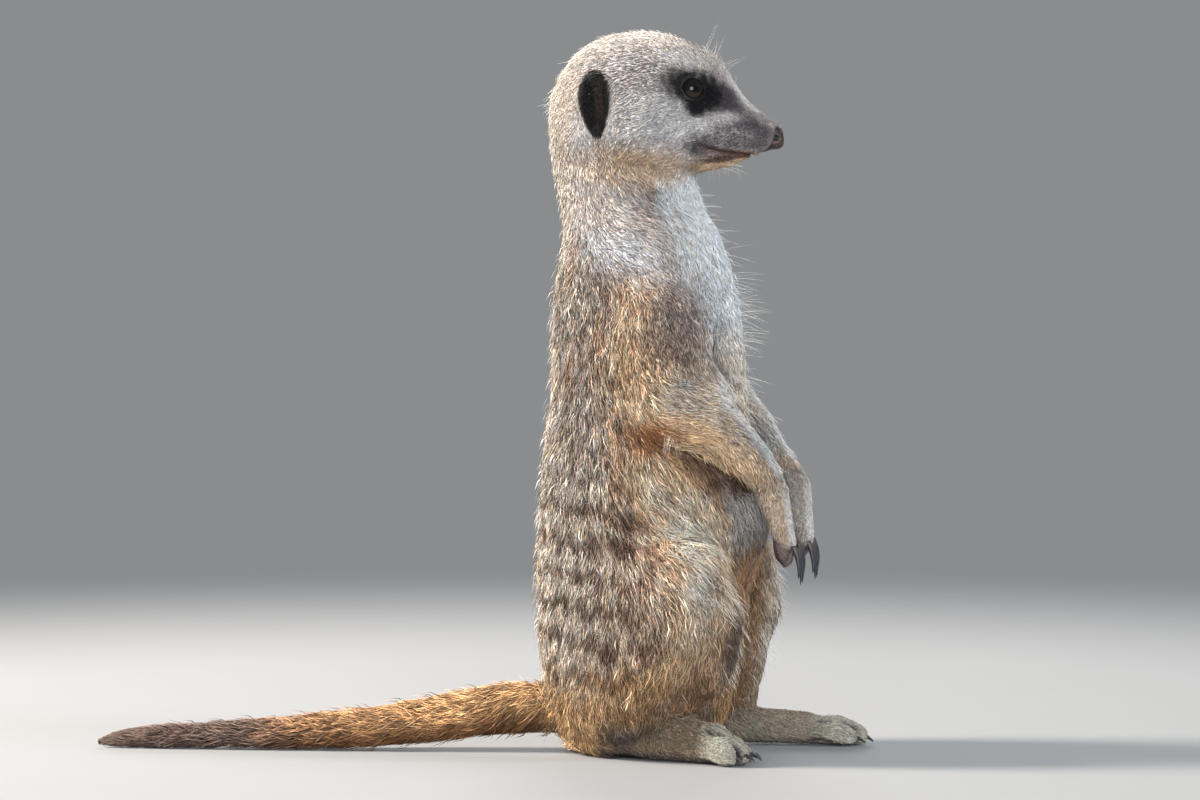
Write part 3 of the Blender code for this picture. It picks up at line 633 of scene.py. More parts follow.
# Colours are linear red, green and blue of the hair as a whole.
coatColours = {
    "head": (0.54, 0.485, 0.45), "crown": (0.53, 0.475, 0.435), "temple": (0.33, 0.3, 0.3),
    "cheek": (0.53, 0.515, 0.505), "pale": (0.62, 0.585, 0.565), "buff": (0.64, 0.45, 0.3),
    "muzzle": (0.125, 0.107, 0.11), "speckled": (0.27, 0.24, 0.235), "lip": (0.1, 0.045, 0.035),
    "chin": (0.1, 0.052, 0.036), "eyePatch": (0.008, 0.007, 0.009), "ear": (0.014, 0.011, 0.011),
    "nape": (0.66, 0.55, 0.445), "neck": (0.66, 0.58, 0.525), "neckWarm": (0.72, 0.53, 0.39),
    "neckGrey": (0.25, 0.21, 0.205), "chest": (0.66, 0.69, 0.71), "chestWarm": (0.47, 0.38, 0.29),
    "collarAndCreaseShade": (0.14, 0.135, 0.14), "shoulderTop": (0.68, 0.69, 0.72), "shoulder": (0.25, 0.21, 0.19),
    "arm": (0.66, 0.41, 0.235), "elbow": (0.66, 0.41, 0.24), "shadedElbowPit": (0.24, 0.088, 0.027),
    "foreTop": (0.36, 0.335, 0.31), "foreUnder": (0.77, 0.53, 0.34), "paw": (0.58, 0.45, 0.335),
    "back": (0.58, 0.46, 0.375), "band": (0.12, 0.072, 0.05), "flank": (0.72, 0.48, 0.34),
    "belly": (0.25, 0.205, 0.17), "shadeUnderForearm": (0.17, 0.098, 0.06), "cream": (0.6, 0.52, 0.42),
    "rump": (0.58, 0.335, 0.16), "groinShade": (0.44, 0.285, 0.175), "shank": (0.45, 0.29, 0.18),
    "foot": (0.24, 0.185, 0.13), "toes": (0.46, 0.435, 0.36), "tail": (0.44, 0.25, 0.12),
    "tailUnder": (0.17, 0.07, 0.028), "tailEnd": (0.12, 0.078, 0.062), "pad": (0.12, 0.09, 0.084),
    "earInner": (0.05, 0.036, 0.032), "bellyPale": (0.5, 0.48, 0.45), "thighInner": (0.46, 0.28, 0.165),
    "groove": (0.03, 0.024, 0.022), "between": (0.92, 0.73, 0.55), "foreInnerShade": (0.38, 0.355, 0.33),
    "flankRust": (0.46, 0.225, 0.12), "foreRimLight": (0.7, 0.7, 0.69),
    "chestLow": (0.64, 0.56, 0.47), "chestTop": (0.66, 0.68, 0.69), "backRust": (0.56, 0.31, 0.18),
    "backDark": (0.2, 0.15, 0.128), "sweepWarm": (0.86, 0.57, 0.34), "heel": (0.22, 0.125, 0.065),
    "knee": (0.13, 0.1, 0.078), "neckLow": (0.42, 0.31, 0.26), "bridge": (0.06, 0.052, 0.06),
}


# Bands across the back: mm from one to the next, height of the lowest, rise for each mm forwards, and waver.
bandRows = {"step": 11.8, "lowest": 41.8, "slope": 0.13, "waver": 3.0}


# The colour, how mottled and how bare the coat is at each point. Every marking is a soft patch or a soft
# edge, laid over the ones before it.
def markings(points, normals):
    x, y, z = (points / mm).T
    wide = np.abs(y)
    ragged = ripple(points, 9 * mm, 21)
    fine = ripple(points, 3 * mm, 22)
    colour = np.tile(np.array(coatColours["back"]), (len(points), 1))
    mottle = np.full(len(points), 1.3)
    bare = np.zeros(len(points))
    inward = -normals[:, 1] * np.sign(y)

    def lay(name, mask, mottled=None):
        nonlocal colour, mottle
        share = np.clip(mask, 0, 1)
        colour = colour + (np.array(coatColours[name]) - colour) * share[:, None]
        if mottled is not None:
            mottle = mottle + (mottled - mottle) * share

    def both(node, along, out, up, axes, **how):
        return np.maximum(*(patch(points, spot(node, along, out, up, side), axes, **how) for side in sides))

    # Trunk: grizzled back with broken bands, tan flank, grey-brown belly, pale chest.
    onTrunk = fade(186, 200, z)
    onFlank = ease(-4, 18, x + 3 * ragged) * onTrunk
    lay("flank", onFlank, 0.95)
    lay("flank", both("trunk", 0.62, 0.98, 0.52, (18, 18, 22), soft=0.5, ragged=0.1), 0.6)
    front = both("trunk", 0.9, 0.45, 0.47, (17, 30, 40), soft=0.35, ragged=0.06)
    lay("belly", np.maximum(front, ease(36, 43, x) * (z < 105)), 0.4)
    # Painted shade: a dark patch on the belly just under each forearm, where the arm's shadow falls.
    lay("shadeUnderForearm", both("trunk", 0.84, 0.8, 0.565, (12, 16, 9), soft=0.6, tilt=-10, ragged=0.1), 0.35)
    lay("chest", ease(26, 36, x + 0.12 * (z - 150)) * ease(116, 134, z) * onTrunk, 0.25)
    lay("chestLow", ease(26, 38, x) * ease(112, 124, z) * fade(140, 166, z), 0.3)
    lay("chestWarm", ease(30, 42, x) * ease(104, 114, z) * fade(118, 134, z), 0.35)
    lay("bellyPale", both("trunk", 0.86, 0.8, 0.46, (24, 30, 9.5), soft=0.6, tilt=8, ragged=0.1) * 0.9, 0.6)
    lay("thighInner", ease(30, 40, x) * fade(68, 80, z + 3 * ragged) * (wide < 30), 0.6)
    torn = ripple(points * [1.0, 1.0, 0.35], 4.5 * mm, 62)
    level = z - bandRows["lowest"] + bandRows["slope"] * x + bandRows["waver"] * ragged
    wave = np.cos(2 * math.pi * level / bandRows["step"]) + 0.45 * fine
    streak = ripple(points * [1.6, 1.0, 0.5], 14 * mm, 61)
    upper = ease(104, 124, z) * fade(184, 196, z) * fade(2, 20, x)
    lay("backRust", upper * ease(0.15, 0.9, streak) * 0.75, 0.95)
    lay("backDark", upper * ease(0.15, 0.9, -streak) * 0.75, 1.0)
    onBack = ease(12, 24, z) * fade(92, 114, z) * fade(10, 32, x)
    lay("flankRust", both("trunk", 0.5, 0.95, 0.48, (13, 22, 24), soft=0.7) * ease(-0.3, 0.5, streak) * 0.85,
        0.95)
    lay("between", onBack * ease(0.0, 0.8, -wave) * 0.6, 1.0)
    lay("backDark", onBack * ease(-0.1, 0.7, streak) * ease(-12, 8, x) * 0.6, 1.0)
    whole = ease(-1.1, 0.0, ripple(points, 17 * mm, 8) + 0.5 * torn)
    lay("band", onBack * ease(0.05, 0.6, wave) * whole * 0.92, 0.9)
    # Painted light: the rear edge of the back is made paler between the bands, standing in for sunlight along
    # that edge.
    lay("between", fade(-26, -14, x) * ease(14, 30, z) * fade(130, 170, z) * ease(-0.5, 0.3, -wave) * 0.9,
        0.9)
    under, before = besideArms(points, normals).values()
    # Painted shade: a dark band on the belly along the crease under each forearm.
    lay("shadeUnderForearm", ease(-0.6, 0.6, under) * fade(8, 16, under + 2 * ragged) * ease(18, 30, x)
        * (1 - ease(38, 46, x) * fade(93, 99, z)), 0.5)
    # Painted shade: a dark thin line in the crease along the front of each arm.
    lay("collarAndCreaseShade", ease(-0.6, 0.2, before) * fade(0.8, 3.4, before) * fade(150, 164, z), 0.2)

    # Hind legs: bands run out over the thigh, its front edge is cream, and the rump is gold near the floor.
    onThigh = both("thigh", 0.46, 0.85, 0.52, (37, 26, 46), soft=0.12)
    lay("band", both("thigh", 0.44, 0.95, 0.56, (16, 24, 26), soft=0.8, ragged=0.15) * 0.42, 1.1)
    lay("flank", onThigh * ease(22, 38, x) * 0.8, 0.8)
    sweep = np.minimum(*(awayFrom(points, runAlong("sweep", name), 0.12)[0] for name in sides)) / mm
    lay("sweepWarm", fade(6, 15, sweep + 1.5 * ragged) * (wide > 20) * 0.75, 0.8)
    creamed = (1 - ease(84, 112, z) * 0.7) * (0.45 + 0.55 * ease(36, 64, z))
    lay("cream", fade(3, 9.5, sweep + 2 * ragged) * (wide > 20) * creamed, 0.7)
    lay("rump", fade(14, 44, z + 4 * ragged) * (x < 40) * (wide < 52) * 0.9, 0.7)
    lay("rump", both("thigh", 0.7, 0.9, 0.28, (12, 20, 12), soft=0.6) * 0.5, 0.55)
    # Painted shadow: dark brown low on each thigh, just above the foot.
    lay("heel", both("thigh", 0.68, 0.8, 0.16, (15, 20, 7), soft=0.7, ragged=0.1) * 0.85, 0.6)
    # Painted shade: the inward-facing sides between the legs, and a patch at the front of each thigh, are
    # darker brown.
    lay("groinShade", ease(0.1, 0.8, inward) * (wide > 9) * (x > 12) * (z < 88) * (z > 12), 0.4)
    lay("groinShade", both("thigh", 0.98, 0.75, 0.55, (6, 20, 24), soft=0.6) * 0.8, 0.4)
    lay("thighInner", ease(0.1, 0.8, inward) * (wide > 9) * (x > 34) * (z < 92) * (z > 20), 0.7)
    shin = both("shank", 0.6, 0.5, 0.45, (22, 13, 27), soft=0.3)
    lay("shank", shin * 0.9, 0.5)
    # Partly pale fur and partly painted light: the forward-facing front of each shin is made cream.
    lay("cream", shin * ease(0.5, 0.9, normals[:, 0]) * 0.6, 0.3)
    # The knee's grey-brown fur, darkened further as painted shade.
    lay("knee", both("shank", 1.09, 0.6, 0.56, (8, 18, 20), soft=0.4, tilt=8) * ease(
        -0.5, 0.1, -inward) * 0.95, 0.25)
    # Painted light with some pale fur: the forward-facing fronts of the knees and lower legs get a pale lit
    # edge.
    lay("cream", (x > 48) * (wide > 12) * ease(0.5, 0.85, normals[:, 0]) * ease(-0.3, 0.1, inward)
        * (z < 80) * ease(24, 36, z) * 0.6, 0.4)
    # Painted shadow: dark brown low on each shank, above the heel.
    lay("heel", both("shank", 0.68, 0.7, 0.2, (10, 14, 8), soft=0.8) * 0.6, 0.5)

    # Forelegs: grey over the shoulder, browner down the arm, gold at the elbow and under the forearm.
    lay("backDark", both("trunk", 0.28, 0.9, 0.7, (13, 24, 30), soft=0.9, ragged=0.15) * 0.4, 1.2)
    lay("arm", both("upper_arm", 0.5, 0.8, 0.43, (18, 14, 32), soft=0.9, ragged=0.2) * 0.95, 1.0)
    lay("shoulder", both("upper_arm", 0.78, 0.8, 0.74, (14, 18, 26), soft=0.8, ragged=0.12) * 0.9, 0.9)
    lay("shoulderTop", both("neck", 0.48, 0.95, 0.02, (19, 16, 12), soft=0.7, tilt=28, ragged=0.1) * 0.9,
        0.45)
    onFore = both("forearm", 0.48, 0.6, 0.5, (31, 16, 24), soft=0.15) * fade(
        0.0, 0.5, (118 - z) * (30 - x) / 400) * fade(-0.8, 0.5, under) * fade(-0.8, 0.5, before)
    lay("foreUnder", onFore, 0.5)
    lay("foreTop", onFore * ease(-0.25, 0.65, normals[:, 2] * 0.8 + normals[:, 0] * 0.6 + 0.15 * fine), 0.8)
    lay("elbow", both("forearm", 0.36, 1.0, 0.49, (13, 10, 4.6), soft=0.6, tilt=15) * (under < 0), 0.4)
    # Painted shade: the inward-facing sides of the forearms and hands, where the arms shade each other, are
    # darker grey.
    inner = ease(0.1, 0.6, inward)
    lay("foreInnerShade", onFore * inner * 0.9, 0.5)
    # Reddish fur in the elbow pit, darkened as painted shade where the shade under the forearm begins.
    lay("shadedElbowPit", both("upper_arm", 0.44, 0.95, -0.05, (12, 12, 7.5), soft=0.6, tilt=10, ragged=0.25) * 0.95,
        0.8)
    hand = fade(92, 108, z) * ease(0, 3, x - 50 - 0.35 * (100 - z)) * (z > 62)
    lay("paw", hand, 0.45)
    lay("foreInnerShade", hand * inner * 0.8, 0.5)
    # Painted highlight: the fronts of the forearms and hands that face forwards and up are paler, standing in
    # for rim light.
    rim = both("forearm", 0.6, 0.6, 0.6, (30, 17, 30), soft=0.2) * ease(34, 46, x)
    rim = np.maximum(rim, hand) * (before < 0.6)
    lay("foreRimLight", rim * ease(0.58, 0.95, normals[:, 0] * 0.95 + normals[:, 2] * 0.3) * 0.7, 0.3)

    # Neck: cream down the nape, warm behind the jaw, greyer in front of it, white below the throat.
    lay("neck", ease(182, 196, z + 0.25 * (x - 10) + 2 * ragged), 0.5)
    lay("neckWarm", both("neck", 0.4, 0.95, 0.78, (17, 14, 9), soft=0.7, ragged=0.15) * 0.7, 0.45)
    lay("neckLow", both("neck", 0.8, 0.85, 0.3, (13, 16, 12), soft=0.8, ragged=0.15) * 0.75, 0.6)
    lay("neckGrey", both("neck", 0.72, 0.95, 0.36, (13, 14, 6), soft=0.8, tilt=18, ragged=0.25) * 0.75, 0.7)
    lay("nape", fade(-22, -10, x) * ease(158, 192, z) * 0.75, 0.7)
    lay("chestTop", ease(0.1, 0.75, normals[:, 0]) * ease(166, 184, z) * (z < 224) * (x > 16), 0.15)
    lay("collarAndCreaseShade", both("trunk", 0.88, 0.52, 0.835, (4.5, 8, 5), soft=0.7, ragged=0.2) * 0.7, 0.3)

    # Head: pale crown and brow, grey temple, white cheek, gold under the jaw, dark speckled muzzle.
    onHead = ease(212, 221, z + 0.12 * x)
    lay("head", onHead, 0.6)
    lay("crown", onHead * ease(252, 262, z), 0.5)
    lay("nape", onHead * fade(-19, -9, x) * 0.7, 0.5)
    lay("temple", both("head", 0.45, 0.85, 0.71, (15, 16, 9.0), soft=0.7, ragged=0.1) * 0.85, 0.8)
    lay("cheek", both("head", 0.48, 0.95, 0.42, (17, 16, 9.5), soft=0.6), 0.6)
    lay("temple", both("head", 0.36, 0.95, 0.5, (4.5, 8, 8), soft=0.8, ragged=0.1) * 0.6, 0.7)
    lay("pale", both("head", 0.68, 0.8, 0.375, (11, 12, 5.0), soft=0.7, tilt=-12, ragged=0.1) * 0.8, 0.5)
    lay("buff", both("head", 0.46, 0.92, 0.1, (19, 18, 7.0), soft=0.7, tilt=6, ragged=0.12) * 0.9, 0.5)
    lay("pale", both("head", 0.66, 0.6, 0.815, (11, 9, 3.2), soft=0.6, tilt=4) * 0.85, 0.3)
    snout = both("head", 0.9, 0.34, 0.36, (14, 9, 8.5), soft=0.45, tilt=8, ragged=0.08)
    lay("muzzle", snout * ease(0.25, 0.65, 1 - normals[:, 2]), 0.5)
    lay("muzzle", both("head", 0.815, 0.45, 0.56, (5.5, 8, 5.5), soft=0.7) * 0.9, 0.3)
    lay("bridge", both("head", 0.8, 0.45, 0.56, (9, 8, 4.6), soft=0.6, tilt=32, ragged=0.05) * 0.95
        * fade(0.4, 0.75, normals[:, 2]), 0.3)
    lay("speckled", both("head", 0.815, 0.4, 0.3, (9, 9, 4.8), soft=0.5, ragged=0.15), 1.15)
    lay("pale", both("head", 0.8, 0.42, 0.435, (8.0, 8, 2.0), soft=0.8, tilt=-5, ragged=0.15) * 0.8, 0.45)
    lay("bridge", both("head", 0.845, 0.42, 0.56, (11, 8, 3.8), soft=0.6, tilt=40, ragged=0.06) * 0.85
        * fade(0.4, 0.75, normals[:, 2]), 0.4)
    lay("bridge", both("head", 0.93, 0.4, 0.46, (6, 8, 5), soft=0.6) * 0.4, 0.4)
    lay("bridge", patch(points, spot("nose", 0.35, 0, 0.45), (10, 8, 7.5), soft=0.8, ragged=0.1) * 0.5, 0.3)
    # Painted highlight: a pale line along the top of the muzzle stands in for rim light.
    lay("pale", onHead * fade(2.5, 5.5, wide) * ease(34, 42, x) * fade(50, 54, x) * (z > 228) * 0.85, 0.3)
    lay("bridge", both("head", 0.7, 0.62, 0.25, (5.2, 8, 3.6), soft=0.7, ragged=0.25) * 0.9, 1.0)
    onJaw = both("jaw", 0.6, 0.4, 0.35, (15, 10, 4.6), soft=0.4)
    lay("chin", onJaw * 0.95, 1.0)
    lay("buff", onJaw * ease(0.5, 0.9, -normals[:, 2]), 0.3)
    lips = np.minimum(*(awayFrom(points, runAlong("mouth", side))[0] for side in sides)) / mm
    lay("lip", np.exp(-(lips / 1.1) ** 2), 0.3)
    for side in sides:
        centre = eyeFrame(side)[0]
        for before, above, long, high, tilt in eyePatches:
            lay("eyePatch", patch(points, centre + [before * mm, 0, above * mm], (long, 11, high), soft=0.34,
                                  tilt=tilt, ragged=0.12) * 0.97, 0.15)
        low, high = boxes[f"ear_{side}"]
        up = (z - low[2] / mm) / (high[2] - low[2]) * mm
        half = 6.2 * np.where(up > 0.6, np.sqrt(np.clip(1 - ((up - 0.6) / 0.43) ** 2, 0.0, 1)),
                              1 - 0.72 * np.clip((0.6 - up) / 0.6, 0, 1.05) ** 1.6)
        half = np.maximum(half * ease(-0.08, 0.05, up) ** 0.5, 0.01)
        middle = (low[0] + high[0]) / 2 / mm + 0.9 - 1.8 * up
        onEar = fade(0.86, 1.1, np.abs(x - middle) / half) * ease(-0.05, 0.02, up) * fade(1.0, 1.04, up)
        onEar = onEar * (y * sides[side] > 12)
        behind = np.array([low[0], (low[1] + high[1]) / 2, low[2]]) + [-0.2 * mm, 0, -0.5 * mm]
        lay("pale", patch(points, behind, (4.5, 9, 6.5), soft=0.6) * 0.8, 0.3)
        lay("ear", onEar, 0.2)
        ridge = np.exp(-((x - middle - 1.8) / 1.7) ** 2)
        lay("earInner", onEar * ridge * ease(0.15, 0.4, up) * fade(0.75, 0.95, up), 0.5)
        bare = np.maximum(bare, ease(-0.42, -0.25, lidOpening(points - centre, *eyeFrame(side)[2:]))
                          * (np.linalg.norm(points - centre, axis=1) < 9 * mm))

    bare = np.maximum(bare, fade(1.0, 1.2, fromNose(points)))

    # Feet, toes and the bare pads.
    grooves, _ = alongToes(points, normals)
    for side in sides:
        low, high = boxes[f"hind_foot_{side}"]
        onFoot = ((points > low - 2 * mm) & (points < high + np.array([4, 2, 4]) * mm)).all(axis=1)
        along = (points - (low + high) / 2) @ footAhead(side) / mm
        onFoot = onFoot * (1 - ease(-3, 3, z - high[2] / mm) * fade(-12, 0, along))
        lay("foot", onFoot * ease(-31, -20, along) * 0.95, 0.5)
        lay("toes", onFoot * ease(8, 18, along) * 0.9, 0.35)
        lay("toes", onFoot * ease(0.0, 0.6, inward) * 0.3, 0.35)
        # Painted shade: near-black in the grooves between the toes.
        lay("groove", onFoot * ease(0.1, 0.55, grooves["hind"]), 0.1)
        lay("pad", onFoot * ease(0.5, 0.9, -normals[:, 2]), 0.0)
        bare = np.maximum(bare, onFoot * ease(0.5, 0.9, -normals[:, 2]))
        claw = np.mean([boxes[f"fore_claw_{side}_{k}"][1] for k in (1, 2, 3, 4)], axis=0)
        palm = hand * ease(0.35, 0.8, -normals[:, 0] - 0.35 * normals[:, 2]) * fade(80, 86, z)
        wrist = patch(points, spot("forepaw", 0.16, 0.55, 0.46, side), (4.0, 8.0, 4.0), soft=0.3)
        tips = ease(-1, 1, claw[2] / mm - 3.5 + 0.75 * (claw[0] / mm - x) - z) * (z > 60) * ease(55, 58, x)
        soles = np.clip(palm + wrist + tips * 0.9, 0, 1)
        lay("pad", soles * (np.sign(y) == sides[side]), 0.0)
        bare = np.maximum(bare, soles * (np.sign(y) == sides[side]))

    bare = np.maximum(bare, ease(0.35, 0.65, grooves["hind"]))

    # Tail: gold, browner below, black at its end.
    tail = ease(22, 34, -x) * (z < 40)
    lay("tail", tail, 0.8)
    lay("tailUnder", tail * ease(50, 130, -x) * 0.35, 0.9)
    lay("tailUnder", tail * ease(0.0, 0.8, -normals[:, 2]) * 0.8, 0.5)
    lay("tailEnd", tail * ease(106, 148, -x + 7 * fine + 4 * ragged), 0.5)
    return colour, mottle, np.clip(bare, 0, 1)


# Each coat piece takes some kinds of hair, and is one object or one for each side.
coatPieces = {
    "coat_head": (("muzzle", "face", "brow", "crown", "ear"), True, "pale_coat"),
    "coat_neck": (("neck", "chest"), False, "pale_coat"),
    "coat_belly": (("belly",), False, "pale_coat"),
    "coat_back": (("back", "flank"), True, "grizzled_coat"),
    "coat_thigh": (("thigh", "cream"), True, "grizzled_coat"),
    "coat_arms": (("arm", "paw"), False, "pale_coat"),
    "coat_feet": (("shank", "foot"), False, "pale_coat"),
    "coat_tail": (("tail", "tip"), False, "tawny_coat"),
}

# Tufts: most in a piece, share of the map each takes, depth of its root (mm), how far its way and curl
# stray (radians), how far clumps draw together, and how much clumps and tufts differ in tone. Guard hairs,
# in coats longer than guardFrom (mm), are longer, finer and paler at the tip; a few stray ones stand up.
# Each tuft's length, width, height and draw are its kind's times a share between two limits.
tuftPlan = {"most": 19500, "patch": 0.003, "sunk": 0.35, "spread": 0.15, "sway": 0.24, "clump": 0.55,
            "tone": 0.34, "tint": 0.055, "curl": 0.1, "guards": 0.15, "guardLength": 1.3, "guardWidth": 0.6,
            "guardShades": (0.8, 1.3, 2.3), "guardFrom": 5.5, "strays": 0.045, "strayStand": 1.8,
            "lengths": (0.7, 1.2), "widths": (0.6, 1.15), "stands": (0.55, 1.12), "draws": (0.6, 1.2)}


# Points moved onto the nearest place of the skin, and the skin's normal there: two shrink-wraps of a loose
# mesh, one on the surface and one a millimetre above it.
def ontoSkin(points):
    mesh = bpy.data.meshes.new("loose")
    mesh.from_pydata(points.tolist(), [], [])
    loose = newObject("loose", mesh)
    wrap = loose.modifiers.new("Shrinkwrap", "SHRINKWRAP")
    wrap.target = skin
    wrap.wrap_method = "NEAREST_SURFACEPOINT"
    found = []
    for mode, height in (("ON_SURFACE", 0.0), ("ABOVE_SURFACE", 1.0)):
        wrap.wrap_mode = mode
        wrap.offset = height * mm
        graph = bpy.context.evaluated_depsgraph_get()
        wrapped = loose.evaluated_get(graph).to_mesh()
        found.append(readPoints(wrapped))
        loose.evaluated_get(graph).to_mesh_clear()
    bpy.data.objects.remove(loose)
    bpy.data.meshes.remove(mesh)
    return found[0], unit(found[1] - found[0])


# The corners of some of the skin's triangles laid flat by the smart projection, three pairs for each
# triangle.
def flatten(points, corners):
    used, index = np.unique(corners, return_inverse=True)
    mesh = bpy.data.meshes.new("flat")
    mesh.from_pydata(points[used].tolist(), [], index.reshape(-1, 3).tolist())
    flat = newObject("flat", mesh)
    bpy.ops.object.select_all(action="DESELECT")
    bpy.context.view_layer.objects.active = flat
    flat.select_set(True)
    bpy.ops.object.mode_set(mode="EDIT")
    bpy.ops.mesh.select_all(action="SELECT")
    bpy.ops.uv.smart_project(angle_limit=1.15, island_margin=0.004, scale_to_bounds=True)
    bpy.ops.object.mode_set(mode="OBJECT")
    laid = readTable(flat.data.uv_layers[0].data, "uv", 2).reshape(-1, 3, 2)
    bpy.data.objects.remove(flat)
    bpy.data.meshes.remove(mesh)
    return laid


# A tuft is a three-sided blade: a ring at its root, one half way, and a point. Its faces, on its seven
# points.
bladeFaces = ((2, 1, 0), (0, 1, 4, 3), (1, 2, 5, 4), (2, 0, 3, 5), (3, 4, 6), (4, 5, 6), (5, 3, 6))


# Many like shapes as one mesh: points is shapes x points x 3, and faces are those of one shape.
def manyShapes(name, points, faces):
    count, each = points.shape[:2]
    corners = np.concatenate([np.array(f) for f in faces])
    sizes = np.array([len(f) for f in faces])
    mesh = bpy.data.meshes.new(name)
    mesh.vertices.add(count * each)
    mesh.loops.add(count * len(corners))
    mesh.polygons.add(count * len(faces))
    mesh.vertices.foreach_set("co", points.astype(np.float32).ravel())
    allCorners = (np.arange(count)[:, None] * each + corners).ravel()
    mesh.loops.foreach_set("vertex_index", allCorners.astype(np.int32))
    starts = np.concatenate([[0], np.cumsum(np.tile(sizes, count))[:-1]])
    mesh.polygons.foreach_set("loop_start", starts.astype(np.int32))
    mesh.update(calc_edges=True)
    mesh.shade_smooth()
    return mesh, allCorners


# How light a tuft is at its root, middle and tip: nearly half have dark middles and pale tips, about a third
# have dark tips, and the rest are even.
bandPlan = {"pale": (0.38, 0.4, 2.35), "dark": (0.55, 0.45, 0.28), "even": (0.7, 1.05, 1.3),
            "paleUpTo": 0.46, "darkUpTo": 0.82, "differ": 0.16}


def banding(count):
    pick = chance.random(count)[:, None]
    pale, dark, even = (np.array(bandPlan[name]) for name in ("pale", "dark", "even"))
    shades = np.where(pick < bandPlan["paleUpTo"], pale, np.where(pick < bandPlan["darkUpTo"], dark, even))
    return shades * (1 + bandPlan["differ"] * chance.standard_normal((count, 1)))


# Tufts gather in clumps: each one's clump number, and the clump's middle.
def gather(points, size):
    warped = points + 0.6 * size * np.stack([ripple(points, 3 * size, 41 + k) for k in range(3)], axis=1)
    cell = np.floor(warped / size).astype(np.int64)
    _, clump = np.unique(cell @ np.array([1, 4001, 16008001]), return_inverse=True)
    members = np.bincount(clump)
    middle = np.stack([np.bincount(clump, points[:, k]) / members for k in range(3)], axis=1)
    return clump, middle[clump]


